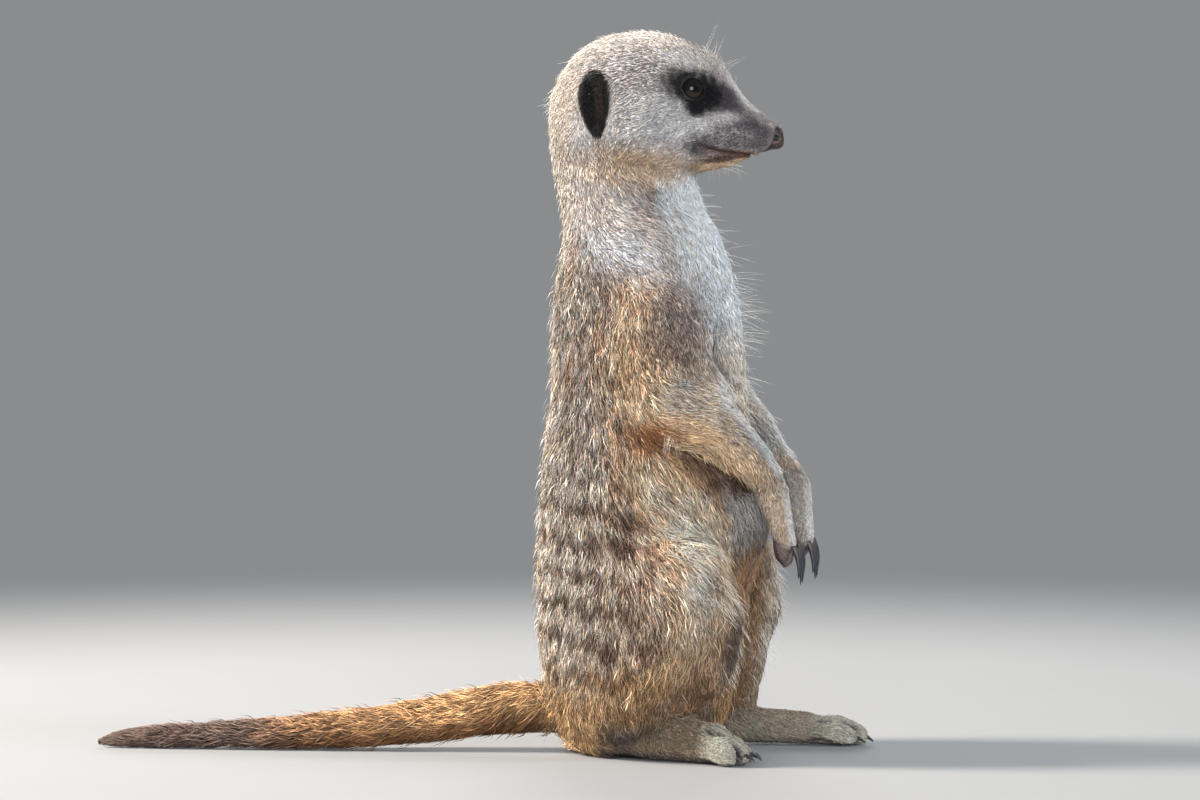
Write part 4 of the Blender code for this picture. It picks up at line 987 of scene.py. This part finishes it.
# The tufts of one coat piece. Roots are scattered over its part of the skin by area and kind of hair. Each
# blade goes from its root along the lie, and its middle and tip are laid at the coat's depth over the
# nearest skin.
def growCoat(name, corners, fields):
    points, normals, lie, numbers, colour, mottle, bare = fields
    a, b, c = (points[corners[:, k]] for k in range(3))
    area = np.linalg.norm(np.cross(b - a, c - a), axis=1) / 2 / mm**2
    wanted = area * numbers[corners, 3].mean(axis=1) * (1 - bare[corners].max(axis=1))
    total = wanted.sum()
    count = int(min(total, tuftPlan["most"]))
    place = (np.arange(count) + chance.random(count)) / count * total
    chosen = np.minimum(np.searchsorted(np.cumsum(wanted), place), len(corners) - 1)
    first, second = np.sqrt(chance.random(count)), chance.random(count)
    shares = np.stack([1 - first, first * (1 - second), first * second], axis=1)

    def at(field):
        return np.einsum("nk,nk...->n...", shares, field[corners[chosen]])

    root, normal, way, kind = at(points), unit(at(normals)), at(lie), at(numbers)
    way = unit(way - normal * dot(way, normal)[:, None])
    side = np.cross(normal, way)
    turn = chance.normal(0, tuftPlan["spread"], count) + tuftPlan["sway"] * ripple(root, 7 * mm, 31)
    way = way * np.cos(turn)[:, None] + side * np.sin(turn)[:, None]
    length = kind[:, 0] * mm * chance.uniform(*tuftPlan["lengths"], count)
    length = length * (1 + 0.15 * ripple(root, 11 * mm, 32))
    starts, ends = besideArms(root, normal), besideArms(root + way * length[:, None], normal)
    for start, end in zip(starts.values(), ends.values()):
        crossed = (start * end < 0) & (np.abs(start) < 20) & (np.abs(end) < 20)
        kept = np.clip(np.abs(start) / np.maximum(np.abs(start) + np.abs(end), 0.1), 0.15, 1)
        length = np.where(crossed, length * kept, length)
    guard = (chance.random(count) < tuftPlan["guards"]) & (kind[:, 0] > tuftPlan["guardFrom"])
    length = np.where(guard, length * tuftPlan["guardLength"], length)
    depth = kind[:, 1] * mm * kind[:, 4]
    stand = chance.uniform(*tuftPlan["stands"], count)
    stray = chance.random(count) < tuftPlan["strays"]
    stand = np.where(stray, stand * tuftPlan["strayStand"], stand)
    curl = chance.normal(0, tuftPlan["curl"], count)
    middle, middleNormal = ontoSkin(root + way * (length * 0.5)[:, None])
    clump, heart = gather(root, kind[:, 0].mean() * 0.3 * mm)
    drawn = tuftPlan["clump"] * chance.uniform(*tuftPlan["draws"], (count, 1))
    tip, tipNormal = ontoSkin(root + (heart - root) * drawn + (way + side * curl[:, None]) * length[:, None])
    reach = np.linalg.norm(tip - root, axis=1)
    tip = np.where((reach > length * 1.2)[:, None], middle + way * (length * 0.4)[:, None], tip)
    lifted = middle + middleNormal * (depth * stand * 0.72)[:, None]
    point = tip + tipNormal * (depth * stand)[:, None]
    base = root - normal * (tuftPlan["sunk"] * mm * np.minimum(kind[:, 1], 1))[:, None]
    wide = kind[:, 2] * mm * chance.uniform(*tuftPlan["widths"], count)
    wide = (wide * np.where(guard, tuftPlan["guardWidth"], 1))[:, None]
    blade = np.empty((count, 7, 3))
    for ring, centre, up, share in ((0, base, normal, 0.9), (3, lifted, middleNormal, 1.0)):
        ahead = unit(point - base)
        across = unit(np.cross(up, ahead))
        over = np.cross(ahead, across)
        blade[:, ring] = centre - across * wide * share / 2
        blade[:, ring + 1] = centre + across * wide * share / 2
        blade[:, ring + 2] = centre + over * wide * share * 0.42
    blade[:, 6] = point
    blade[..., 2] = np.maximum(blade[..., 2], 0.05 * mm)
    mesh, loops = manyShapes(name, blade, bladeFaces)

    shade = 1 + (banding(count) - 1) * at(mottle)[:, None]
    shade = np.where(guard[:, None], [tuftPlan["guardShades"]], shade)
    shade = shade * np.exp(chance.normal(0, tuftPlan["tone"], clump.max() + 1)[clump] * at(mottle))[:, None]
    rooted = at(colour)
    seen = markings((middle + tip) / 2, unit(middleNormal + tipNormal))[0]
    hair = np.stack([rooted, seen, seen], axis=1) * np.maximum(shade, 0.06)[..., None]
    hair = hair * (1 + chance.normal(0, tuftPlan["tint"], (count, 1, 1)) * np.array([1.0, 0.1, -1.0]))
    setColours(mesh, "coatColour", np.repeat(hair, (3, 3, 1), axis=1).reshape(-1, 3))
    flat = np.einsum("nk,nkc->nc", shares, flatten(points, corners)[chosen])
    corner = np.array([(-0.5, 0), (0.5, 0), (0, 0), (-0.5, 0.5), (0.5, 0.5), (0, 0.5), (0, 1)])
    corner = corner * tuftPlan["patch"]
    laid = (flat[:, None] + corner).reshape(-1, 2)
    mesh.uv_layers.new(name="OFBake").data.foreach_set("uv", laid[loops].astype(np.float32).ravel())
    coat = newObject(name, mesh)
    coat.data.materials.append(finishes["hair"])
    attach(coat, "root")
    print(f"{name}: {count} tufts of {total:.0f} wanted, {count * 10} triangles")
    return coat


# Each coat piece takes the triangles of the skin whose nearest guide is one of its kinds of hair.
def growCoats():
    mesh = skin.data
    mesh.calc_loop_triangles()
    corners = readTable(mesh.loop_triangles, "vertices", 3, np.int32)
    points, normals = readPoints(mesh), readNormals(mesh)
    lie, numbers = coatAt(points, normals)
    colour, mottle, bare = markings(points, normals)
    fields = (points, normals, lie, numbers, colour, mottle, bare)
    middle = points[corners].mean(axis=1)
    places, _, kinds = layGuides()
    nearest = np.empty(len(middle), int)
    for part in np.array_split(np.arange(len(middle)), 12):
        nearest[part] = ((middle[part, None] - places[None]) ** 2).sum(axis=2).argmin(axis=1)
    kind = kinds[nearest]
    for name, (named, split, slot) in coatPieces.items():
        mine = np.isin(kind, [kindNames.index(k) for k in named])
        if split:
            for side, sign in sides.items():
                growCoat(f"{name}_{side}", corners[mine & (middle[:, 1] * sign > 0)], fields)
        else:
            growCoat(name, corners[mine], fields)
    return colour, bare


# A socket that can stand in sums: each operator adds its Math node.
class Wire:
    def __init__(self, finish, socket):
        self.finish, self.socket = finish, socket

    def sum(self, operation, *values):
        return self.finish.node("ShaderNodeMath", {"operation": operation}, dict(enumerate(values)))

    def __add__(self, other):
        return self.sum("ADD", self, other)

    def __rsub__(self, other):
        return self.sum("SUBTRACT", other, self)

    def __mul__(self, other):
        return self.sum("MULTIPLY", self, other)

    def __pow__(self, other):
        return self.sum("POWER", self, other)

    __radd__ = __add__
    __rmul__ = __mul__

    def eased(self, low, high):
        return self.finish.node("ShaderNodeMapRange", {"interpolation_type": "SMOOTHSTEP"},
                                {"Value": self, "From Min": low, "From Max": high})


# A material with one Principled shader. Constant sockets are set at once; node() adds anything else.
class Finish:
    def __init__(self, name, **constants):
        self.material = bpy.data.materials.new(name)
        self.material.use_nodes = True
        self.tree = self.material.node_tree
        self.shader = self.tree.nodes["Principled BSDF"]
        for socket, value in constants.items():
            self.shader.inputs[socket].default_value = value
        self.place = self.node("ShaderNodeTexCoord", {}, {}, "Object")

    def node(self, kind, settings, values, output=0):
        made = self.tree.nodes.new(kind)
        for setting, value in settings.items():
            setattr(made, setting, value)
        for socket, value in values.items():
            if isinstance(value, Wire):
                self.tree.links.new(value.socket, made.inputs[socket])
            else:
                made.inputs[socket].default_value = value
        return Wire(self, made.outputs[output])

    def feed(self, socket, wire):
        self.tree.links.new(wire.socket, self.shader.inputs[socket])

    def attribute(self, name, output="Color"):
        return self.node("ShaderNodeAttribute", {"attribute_name": name}, {}, output)

    # Noise of about the given length in mm. Stretch lengthens it along X, Y and Z.
    def noise(self, length, stretch=(1, 1, 1), detail=2.0, output="Fac"):
        scale = tuple(1 / (length * mm * s) for s in stretch)
        place = self.node("ShaderNodeMapping", {}, {"Vector": self.place, "Scale": scale})
        return self.node("ShaderNodeTexNoise", {}, {"Vector": place, "Scale": 1.0, "Detail": detail}, output)

    def mix(self, share, low, high, blend="MIX"):
        settings = {"data_type": "RGBA", "blend_type": blend}
        return self.node("ShaderNodeMix", settings, {0: share, 6: low, 7: high}, 2)

    def bump(self, height, depth, strength=1.0):
        self.feed("Normal", self.node("ShaderNodeBump", {}, {"Height": height, "Distance": depth * mm,
                                                             "Strength": strength}))


def grey(value):
    return (value, value, value, 1.0)


# Hair: the tuft's own colours, a little lighter and darker in fine streaks.
def hairFinish():
    made = Finish("hair", **{"Specular IOR Level": 0.28})
    streak = made.noise(0.5, (1, 1, 3), 1.0)
    made.feed("Base Color", made.mix(0.35, made.attribute("coatColour"), made.mix(
        streak.eased(0.3, 0.7), grey(0.55), grey(1.45)), "MULTIPLY"))
    made.feed("Roughness", 0.5 + made.noise(2.0, detail=1.0) * 0.25)
    return made.material


# Skin: the coat's markings again under the tufts, with short flat hair as bump, and dark leather on the
# pads.
def skinFinish():
    made = Finish("skin", **{"Specular IOR Level": 0.25})
    bare = made.attribute("bare", "Fac")
    short = made.noise(0.42, (2.6, 1, 2.2), 2.0)
    streaks = made.mix(short.eased(0.3, 0.7), grey(0.35), grey(1.05))
    furred = made.mix(1.0, made.attribute("coatColour"), streaks, "MULTIPLY")
    creases = made.node("ShaderNodeTexVoronoi", {"feature": "DISTANCE_TO_EDGE"}, {
        "Vector": made.place, "Scale": 1400.0}, "Distance")
    cells = made.mix(creases.eased(0.0, 0.25), grey(0.45), grey(1.0))
    leather = made.mix(1.0, made.attribute("coatColour"), cells, "MULTIPLY")
    made.feed("Base Color", made.mix(bare, furred, leather))
    made.feed("Roughness", 0.8 - bare * 0.35)
    made.bump(short * (1 - bare) + creases.eased(0.0, 0.3) * bare * 0.5, 0.35, 0.8)
    return made.material


finishes = {"hair": hairFinish(), "skin": skinFinish()}
colour, bare = growCoats()
setColours(skin.data, "coatColour", colour)
setValues(skin.data, "bare", bare)
skin.data.materials.clear()
skin.data.materials.append(finishes["skin"])


# A closed surface swept round rings of points: rings x around x 3, with a fan to a point at each end.
def closedRings(name, rings):
    count, around = rings.shape[:2]
    points = np.vstack([rings.reshape(-1, 3), rings[0].mean(axis=0), rings[-1].mean(axis=0)])
    index = np.arange(count * around).reshape(count, around)
    after = np.roll(index, -1, axis=1)
    quads = np.stack([index[:-1], after[:-1], after[1:], index[1:]], axis=-1).reshape(-1, 4)
    first, last = count * around, count * around + 1
    fans = np.vstack([np.stack([after[0], index[0], np.full(around, first)], axis=1),
                      np.stack([index[-1], after[-1], np.full(around, last)], axis=1)])
    mesh = bpy.data.meshes.new(name)
    mesh.from_pydata(points.tolist(), [], quads.tolist() + fans.tolist())
    mesh.shade_smooth()
    return newObject(name, mesh), points


# A piece that takes a node's place, with its finish.
def takePlace(piece, finish, slot, *nodes):
    piece.data.materials.append(finish)
    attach(piece, "root")
    if nodes:
        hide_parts(*nodes)


# Eyeball: a ball whose front bulges as the cornea, r(angle) = R (1 + bulge e^-(angle / width)^2). Each
# point keeps its angle from the way the eye looks, along the lids and across them, for the iris and pupil.
def growEye(side):
    centre, _, ahead, up = eyeFrame(side)
    x, out, z = eyePlan["gaze"]
    gaze = unit([x, out * sides[side], z])
    ahead = unit(ahead - gaze * dot(ahead, gaze))
    up = np.cross(gaze, ahead) * -sides[side]
    angle = np.linspace(0.02, math.pi - 0.02, 40)[:, None]
    turn = (np.linspace(0, 2 * math.pi, 49)[:-1] * -sides[side])[None]
    radius = (eyePlan["radius"] - 0.12) * mm * (1 + eyePlan["bulge"] * np.exp(-(angle / 0.62) ** 2))
    along, across = np.sin(angle) * np.cos(turn), np.sin(angle) * np.sin(turn)
    rings = centre + radius[..., None] * (np.cos(angle)[..., None] * gaze + along[..., None] * ahead
                                          + across[..., None] * up)
    eye, points = closedRings(f"eyeball_{side}", rings)
    away = unit(points - centre)
    off = np.arccos(np.clip(away @ gaze, -1, 1))
    for name, axis in (("eyeAlong", ahead), ("eyeAcross", up)):
        setValues(eye.data, name, off * (away @ axis) / np.maximum(np.sin(off), 1e-6))
    takePlace(eye, finishes["eye"], "eye_gloss", f"eye_{side}")


# How square the block is, the ways of a nostril's hole and slit, how deep they go, and the middle groove's
# depth (mm).
nosePlan = {"square": 2.9, "nostril": (0.5, 0.86, -0.08), "slit": (0.12, 0.95, 0.1), "depth": 1.6,
            "groove": 0.45}


# Nose pad: a rounded block whose front leans back to its top, with two comma-shaped nostrils that open
# sideways and a groove down its middle.
def growNose():
    low, high = boxes["nose"]
    centre, half = (low + high) / 2, (high - low) / 2
    steps, around = 46, 56
    angle = np.linspace(0.03, math.pi - 0.03, steps)[:, None]
    turn = np.linspace(0, 2 * math.pi, around + 1)[:-1][None]
    way = np.stack([np.broadcast_to(np.cos(angle), (steps, around)), np.sin(angle) * np.cos(turn),
                    np.sin(angle) * np.sin(turn)], axis=-1)
    block = (np.abs(way) ** nosePlan["square"]).sum(axis=-1) ** (-1 / nosePlan["square"])
    shape = way * block[..., None] * half
    behind = np.clip(-way[..., :1], 0, 0.94)
    shape[..., 1:] *= np.minimum(1 / np.sqrt(1 - behind**2), 2.2) * (1 + 0.1 * behind)
    shape[..., 0] -= 0.12 * shape[..., 2]
    shape[..., 1] *= 1 - 0.12 * np.clip(-way[..., 2], 0, 1)
    dent = nosePlan["groove"] * np.exp(-(shape[..., 1] / (0.5 * mm)) ** 2) * (way[..., 0] > -0.2) * ease(
        0.5, -0.4, way[..., 2])
    deep = np.zeros_like(dent)
    for sign in sides.values():
        hole, slit = (way - unit([x, out * sign, z]) for x, out, z in (nosePlan["nostril"], nosePlan["slit"]))
        hollow = np.exp(-((hole / [0.34, 0.4, 0.24]) ** 2).sum(axis=-1))
        hollow = np.maximum(hollow, 0.9 * np.exp(-((slit / [0.34, 0.34, 0.15]) ** 2).sum(axis=-1)))
        deep = np.maximum(deep, hollow)
        dent = dent + nosePlan["depth"] * hollow
    shape = shape - way * dent[..., None] * mm
    nose, _ = closedRings("nose_pad", centre + shape + [0.1 * mm, 0, -0.9 * mm])
    setValues(nose.data, "deep", np.append(deep.ravel(), [0.0, 0.0]))
    takePlace(nose, finishes["nose"], "nose_leather", "nose")


# How far each claw bends, its half width and its depth (mm), and its share of the node's length.
clawPlan = {
    "fore": {"bend": 0.9, "wide": 0.95, "deep": 1.35, "long": 1.0},
    "hind": {"bend": 0.7, "wide": 0.8, "deep": 1.1, "long": 0.78},
}


# Claw: a spike from its root, the middle of the points in the rearmost quarter of the node, to its tip, the
# foremost point. It is deeper than wide, bends by a sine along its length, and thins as (1 - t^1.6)^0.75.
def growClaw(paw, side, number):
    node = f"{paw}_claw_{side}_{number}"
    plan = clawPlan[paw]
    points = readPoints(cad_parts[node].data)
    ahead = footAhead(side) if paw == "hind" else unit([0.25, 0.0, -1.0])
    along = points @ ahead
    tip = points[along.argmax()]
    root = points[along < along.min() + 0.25 * (along.max() - along.min())].mean(axis=0)
    line = (tip - root) * (plan["long"] if side == "right" else 1.0)
    length = np.linalg.norm(line)
    line = line / length
    out = unit(np.cross(line, [0.0, 0.0, 1.0] if paw == "hind" else [1.0, 0.0, 0.0]))
    top = np.cross(out, line)
    if paw == "hind" and top[2] < 0 or paw == "fore" and top[0] < 0:
        top, out = -top, -out
    around = 14
    t = np.linspace(0, 1, 15)[:, None]
    turn = np.linspace(0, 2 * math.pi, around + 1)[:-1][None]
    middle = root + line * (t * length) + top * (plan["bend"] * mm * np.sin(math.pi * t))
    taper = (1 - t**1.6) ** 0.75 * 0.97 + 0.03
    high = np.where(np.sin(turn) > 0, 0.6, 0.42) * np.sin(turn)
    thinner = 1 - 0.25 * (np.sin(turn) < 0)[..., None]
    ring = out * (np.cos(turn) * taper * plan["wide"] * mm)[..., None] * thinner
    ring = ring + top * (high * taper * plan["deep"] * 1.6 * mm)[..., None]
    claw, shape = closedRings(f"claw_{paw}_{side}_{number}", middle[:, None] + ring)
    if dot(np.cross(shape[1] - shape[0], shape[around] - shape[0]), shape[0] - middle[0]) < 0:
        claw.data.flip_normals()
    setValues(claw.data, "toTip", np.clip((shape - root) @ line / length, 0, 1))
    takePlace(claw, finishes["claw"], "claw_horn", node)


strayTones = {"pale": (0.86, 0.82, 0.74), "grey": (0.6, 0.52, 0.42), "dark": (0.06, 0.05, 0.045)}

# Long single hairs: node and shares of its box, how they point, length and thickness in mm, count, spread
# of their roots in mm, and tone.
strayPlan = (
    ("head", 0.86, 0.42, 0.3, (-0.25, 1.0, -0.15), 11.0, 0.11, 12, 3.2, "dark"),
    ("head", 0.72, 0.46, 0.86, (0.45, 0.35, 1.0), 17.0, 0.09, 3, 1.8, "pale"),
    ("head", 0.78, 0.3, 0.78, (0.8, 0.25, 0.7), 13.0, 0.09, 2, 1.8, "pale"),
    ("head", 0.77, 0.2, 0.86, (0.25, 0.1, 1.0), 4.4, 0.1, 30, 9.0, "grey"),
    ("head", 0.45, 1.0, 0.12, (-0.3, 1.0, -0.5), 8.0, 0.1, 3, 1.2, "dark"),
    ("jaw", 0.4, 0.3, 0.0, (0.25, 0.15, -1.0), 5.5, 0.12, 9, 8.0, "grey"),
    ("neck", 0.95, 0.15, 0.3, (1.0, 0.1, 0.15), 9.0, 0.13, 12, 14.0, "pale"),
    ("trunk", 0.99, 0.15, 0.88, (0.9, 0.1, 0.05), 12.0, 0.13, 38, 22.0, "pale"),
    ("trunk", 1.0, 0.1, 0.7, (0.9, 0.1, -0.45), 9.0, 0.13, 34, 24.0, "pale"),
    ("trunk", 0.02, 0.1, 0.8, (-0.6, 0.0, -1.0), 7.0, 0.17, 150, 24.0, "pale"),
    ("trunk", 0.02, 0.1, 0.45, (-0.6, 0.0, -1.0), 8.0, 0.17, 170, 30.0, "pale"),
    ("trunk", 0.03, 0.1, 0.15, (-0.6, 0.0, -1.0), 8.0, 0.17, 90, 16.0, "grey"),
    ("thigh", 0.95, 0.75, 0.75, (0.8, 0.15, -0.75), 10.0, 0.19, 90, 12.0, "pale"),
    ("thigh", 0.95, 0.4, 0.45, (0.7, 0.1, -0.9), 8.0, 0.18, 70, 14.0, "pale"),
    ("forearm", 0.85, 0.6, 0.85, (0.9, 0.1, -0.7), 4.0, 0.12, 60, 9.0, "pale"),
    ("forearm", 0.22, 1.0, 0.42, (0.0, 0.35, -1.0), 8.0, 0.13, 16, 9.0, "grey"),
    ("head", 0.02, 0.3, 0.7, (-0.7, 0.0, -0.6), 5.5, 0.15, 110, 12.0, "pale"),
)


# Each hair is a tapered three-sided tube that leaves the skin at a slant and bows under its own weight.
def growStrays():
    roots, ways, lengths, thick, tones = [], [], [], [], []
    for node, along, out, up, (x, y, z), length, width, count, spread, tone in strayPlan:
        for side, sign in sides.items():
            roots.append(spot(node, along, out, up, side) + chance.normal(0, spread * 0.5, (count, 3)) * mm)
            ways.append(unit(np.array([x, y * sign, z]) + chance.normal(0, 0.22, (count, 3))))
            lengths.append(length * mm * chance.uniform(0.55, 1.25, count))
            thick.append(width * mm * chance.uniform(0.7, 1.1, count))
            tones.append(np.tile(strayTones[tone], (count, 1)))
    root, way, length, wide, tone = (np.concatenate(part) for part in (roots, ways, lengths, thick, tones))
    root, normal = ontoSkin(root)
    way = unit(way + normal * np.maximum(0.25 - dot(way, normal), 0)[:, None])
    side = unit(np.cross(way, normal + 1e-6))
    over = np.cross(side, way)
    droop = np.array([0.0, 0.0, -1.0]) - way * -way[:, 2:3]
    rings = []
    for t in (0.0, 0.4, 0.75):
        middle = root + way * (length * (t - 0.06))[:, None] + droop * (length * 0.22 * t * t)[:, None]
        for turn in (0.0, 2.1, 4.2):
            spoke = side * math.cos(turn) + over * math.sin(turn)
            rings.append(middle + spoke * (wide * (1 - 0.45 * t))[:, None] / 2)
    rings.append(root + way * length[:, None] + droop * (length * 0.22)[:, None])
    faces = [(2, 1, 0)]
    faces += [(r + k, r + (k + 1) % 3, r + 3 + (k + 1) % 3, r + 3 + k) for r in (0, 3) for k in range(3)]
    faces += [(6 + k, 6 + (k + 1) % 3, 9) for k in range(3)]
    hairs = np.stack(rings, axis=1)
    hairs[..., 2] = np.maximum(hairs[..., 2], 0.05 * mm)
    mesh, _ = manyShapes("long_hairs", hairs, faces)
    setColours(mesh, "coatColour", np.repeat(tone, 10, axis=0))
    takePlace(newObject("long_hairs", mesh), finishes["hair"], "pale_coat")
    print("long hairs:", len(root))


# Eye: black pupil wider than high, dark brown iris in fine spokes, paler below, and a black rim.
def eyeFinish():
    made = Finish("eye", **{"Coat Weight": 0.3, "Coat Roughness": 0.04, "Specular IOR Level": 0.1})
    along, across = made.attribute("eyeAlong", "Fac"), made.attribute("eyeAcross", "Fac")
    off = (along * along + across * across) ** 0.5
    pupil = ((along * along) * 0.62 + (across * across) * 1.5) ** 0.5
    spokes = made.noise(0.16, (1, 1, 1), 3.0)
    iris = made.mix(spokes.eased(0.3, 0.7), (0.003, 0.0025, 0.0025, 1), (0.011, 0.007, 0.005, 1))
    iris = made.mix((across * -1.0 + 0.05).eased(0.0, 0.5), iris, (0.02, 0.013, 0.009, 1))
    ringed = made.mix(off.eased(0.58, 0.72), iris, grey(0.004))
    made.feed("Base Color", made.mix(pupil.eased(0.27, 0.33), grey(0.002), ringed))
    made.feed("Roughness", 0.1 + spokes * 0.06)
    made.bump(made.noise(0.3), 0.02, 0.15)
    return made.material


# Nose leather: pebbled, pinkish brown with darker blotches, and black inside the nostrils as painted shade in
# the holes.
def noseFinish():
    made = Finish("nose leather", **{"Specular IOR Level": 0.5})
    pebbles = made.node("ShaderNodeTexVoronoi", {"feature": "SMOOTH_F1"}, {
        "Vector": made.place, "Scale": 1900.0, "Smoothness": 0.6}, "Distance")
    blotch = made.noise(1.6)
    tone = made.mix(blotch.eased(0.4, 0.66), (0.022, 0.016, 0.016, 1), (0.09, 0.055, 0.048, 1))
    deep = made.attribute("deep", "Fac")
    rim = deep.eased(0.06, 0.2) * (1 - deep.eased(0.24, 0.4))
    tone = made.mix(rim * 0.45, tone, (0.22, 0.13, 0.1, 1))
    tone = made.mix(pebbles.eased(0.35, 0.75), tone, (0.018, 0.012, 0.012, 1))
    # Painted shade: near-black where the nostrils go deep.
    made.feed("Base Color", made.mix(deep.eased(0.26, 0.46), tone, (0.004, 0.003, 0.003, 1)))
    made.feed("Roughness", 0.46 + blotch * 0.24)
    made.bump(1 - pebbles, 0.2, 0.9)
    return made.material


# Horn: blue-black, browner at the root, with fine lines along it.
def clawFinish():
    made = Finish("horn", **{"Specular IOR Level": 0.5})
    line = made.noise(0.35, (1, 1, 6))
    tone = made.mix(line.eased(0.3, 0.7), (0.012, 0.013, 0.018, 1), (0.04, 0.042, 0.052, 1))
    atRoot = made.attribute("toTip", "Fac").eased(0.45, 0.0)
    made.feed("Base Color", made.mix(atRoot, tone, (0.06, 0.048, 0.042, 1)))
    made.feed("Roughness", 0.3 + line * 0.22)
    made.bump(line, 0.05, 0.6)
    return made.material


finishes.update(eye=eyeFinish(), nose=noseFinish(), claw=clawFinish())
for side in sides:
    growEye(side)
    for paw in clawPlan:
        for number in (1, 2, 3, 4):
            growClaw(paw, side, number)
growNose()
print("eyes, claws and nose: placed")
growStrays()


# Radius (mm), share of it where the sheet starts to fade, its lightness, and the air's colour and strength.
stagePlan = {"radius": 900.0, "fade": 0.4, "colour": 0.3, "air": (0.3, 0.31, 0.32), "airStrength": 0.85}


# The floor is a round sheet that fades out at its rim, so no horizon shows behind the animal.
def layFloor():
    radius = stagePlan["radius"] * mm
    rings, around = 14, 64
    turn = np.linspace(0, 2 * math.pi, around + 1)[:-1]
    reach = np.linspace(0.02, 1.0, rings)[:, None] * radius
    flat = np.stack([reach * np.cos(turn), reach * np.sin(turn), np.zeros((rings, around))], axis=-1)
    index = np.arange(rings * around).reshape(rings, around)
    after = np.roll(index, -1, axis=1)
    quads = np.stack([index[:-1], index[1:], after[1:], after[:-1]], axis=-1).reshape(-1, 4)
    mesh = bpy.data.meshes.new("floor")
    mesh.from_pydata(flat.reshape(-1, 3).tolist(), [], quads.tolist() + [index[0].tolist()])
    floor = newObject("floor", mesh)
    made = Finish("floor", **{"Roughness": 0.9, "Specular IOR Level": 0.1})
    made.feed("Base Color", made.mix(made.noise(60.0) * 0.5, grey(stagePlan["colour"]), grey(
        stagePlan["colour"] * 0.93)))
    away = made.node("ShaderNodeVectorMath", {"operation": "LENGTH"}, {0: made.place}, "Value")
    made.feed("Alpha", 1 - away.eased(stagePlan["fade"] * radius, 0.98 * radius))
    made.bump(made.noise(1.5), 0.05, 0.3)
    floor.data.materials.append(made.material)


layFloor()
print("floor: a sheet of", 2 * stagePlan["radius"] * mm, "m")


# The camera's angle round the animal and above the floor in degrees, its distance in metres, its lens in
# mm, and how far its aim lies to the right of the origin and above the floor in mm.
cameraPlan = {"azimuth": 10.0, "elevation": 3.0, "distance": 2.47, "lens": 200.0, "shift": -7.4,
              "height": 131.0}


# The camera looks at its aim, level with the horizon from side to side.
def placeCamera():
    turn, rise = math.radians(cameraPlan["azimuth"]), math.radians(cameraPlan["elevation"])
    right = np.array([math.cos(turn), math.sin(turn), 0.0])
    back = np.array([math.sin(turn) * math.cos(rise), -math.cos(turn) * math.cos(rise), math.sin(rise)])
    aim = right * cameraPlan["shift"] * mm + np.array([0.0, 0.0, cameraPlan["height"] * mm])
    camera = newObject("camera", bpy.data.cameras.new("camera"))
    camera.data.lens = cameraPlan["lens"]
    camera.data.sensor_width = 36.0
    camera.location = aim + back * cameraPlan["distance"]
    camera.rotation_euler = (math.radians(90.0 - cameraPlan["elevation"]), 0.0, turn)
    bpy.context.scene.camera = camera


placeCamera()
print("camera: placed")


# Lamps: place in metres, size, power in watts, and colour.
lampPlan = {
    "key": ((-1.5, -0.24, 0.82), 0.4, 88.0, (1.0, 0.94, 0.86)),
    "fill": ((0.35, -2.0, 0.65), 1.1, 44.0, (0.93, 0.96, 1.0)),
    "side": ((1.7, -0.35, 0.7), 0.7, 24.0, (0.84, 0.92, 1.0)),
    "rear": ((-0.3, 2.0, 0.8), 1.0, 34.0, (0.92, 0.95, 1.0)),
}


# Square lamps that all face the animal's middle, in grey air. The side lamp leaves no highlights.
def hangLamps():
    for name, (where, size, power, colour) in lampPlan.items():
        lamp = newObject(name, bpy.data.lights.new(name, "AREA"))
        lamp.data.energy = power
        lamp.data.size = size
        lamp.data.color = colour
        lamp.visible_glossy = name != "side"
        lamp.location = where
        lamp.rotation_euler = (Vector((0.0, 0.0, 0.13)) - Vector(where)).to_track_quat("-Z", "Y").to_euler()
    world = bpy.data.worlds.new("air")
    world.use_nodes = True
    air = world.node_tree.nodes["Background"].inputs
    air["Color"].default_value = (*stagePlan["air"], 1)
    air["Strength"].default_value = stagePlan["airStrength"]
    bpy.context.scene.world = world
    bpy.context.scene.view_settings.view_transform = "Standard"


hangLamps()
print("lamps:", len(lampPlan))
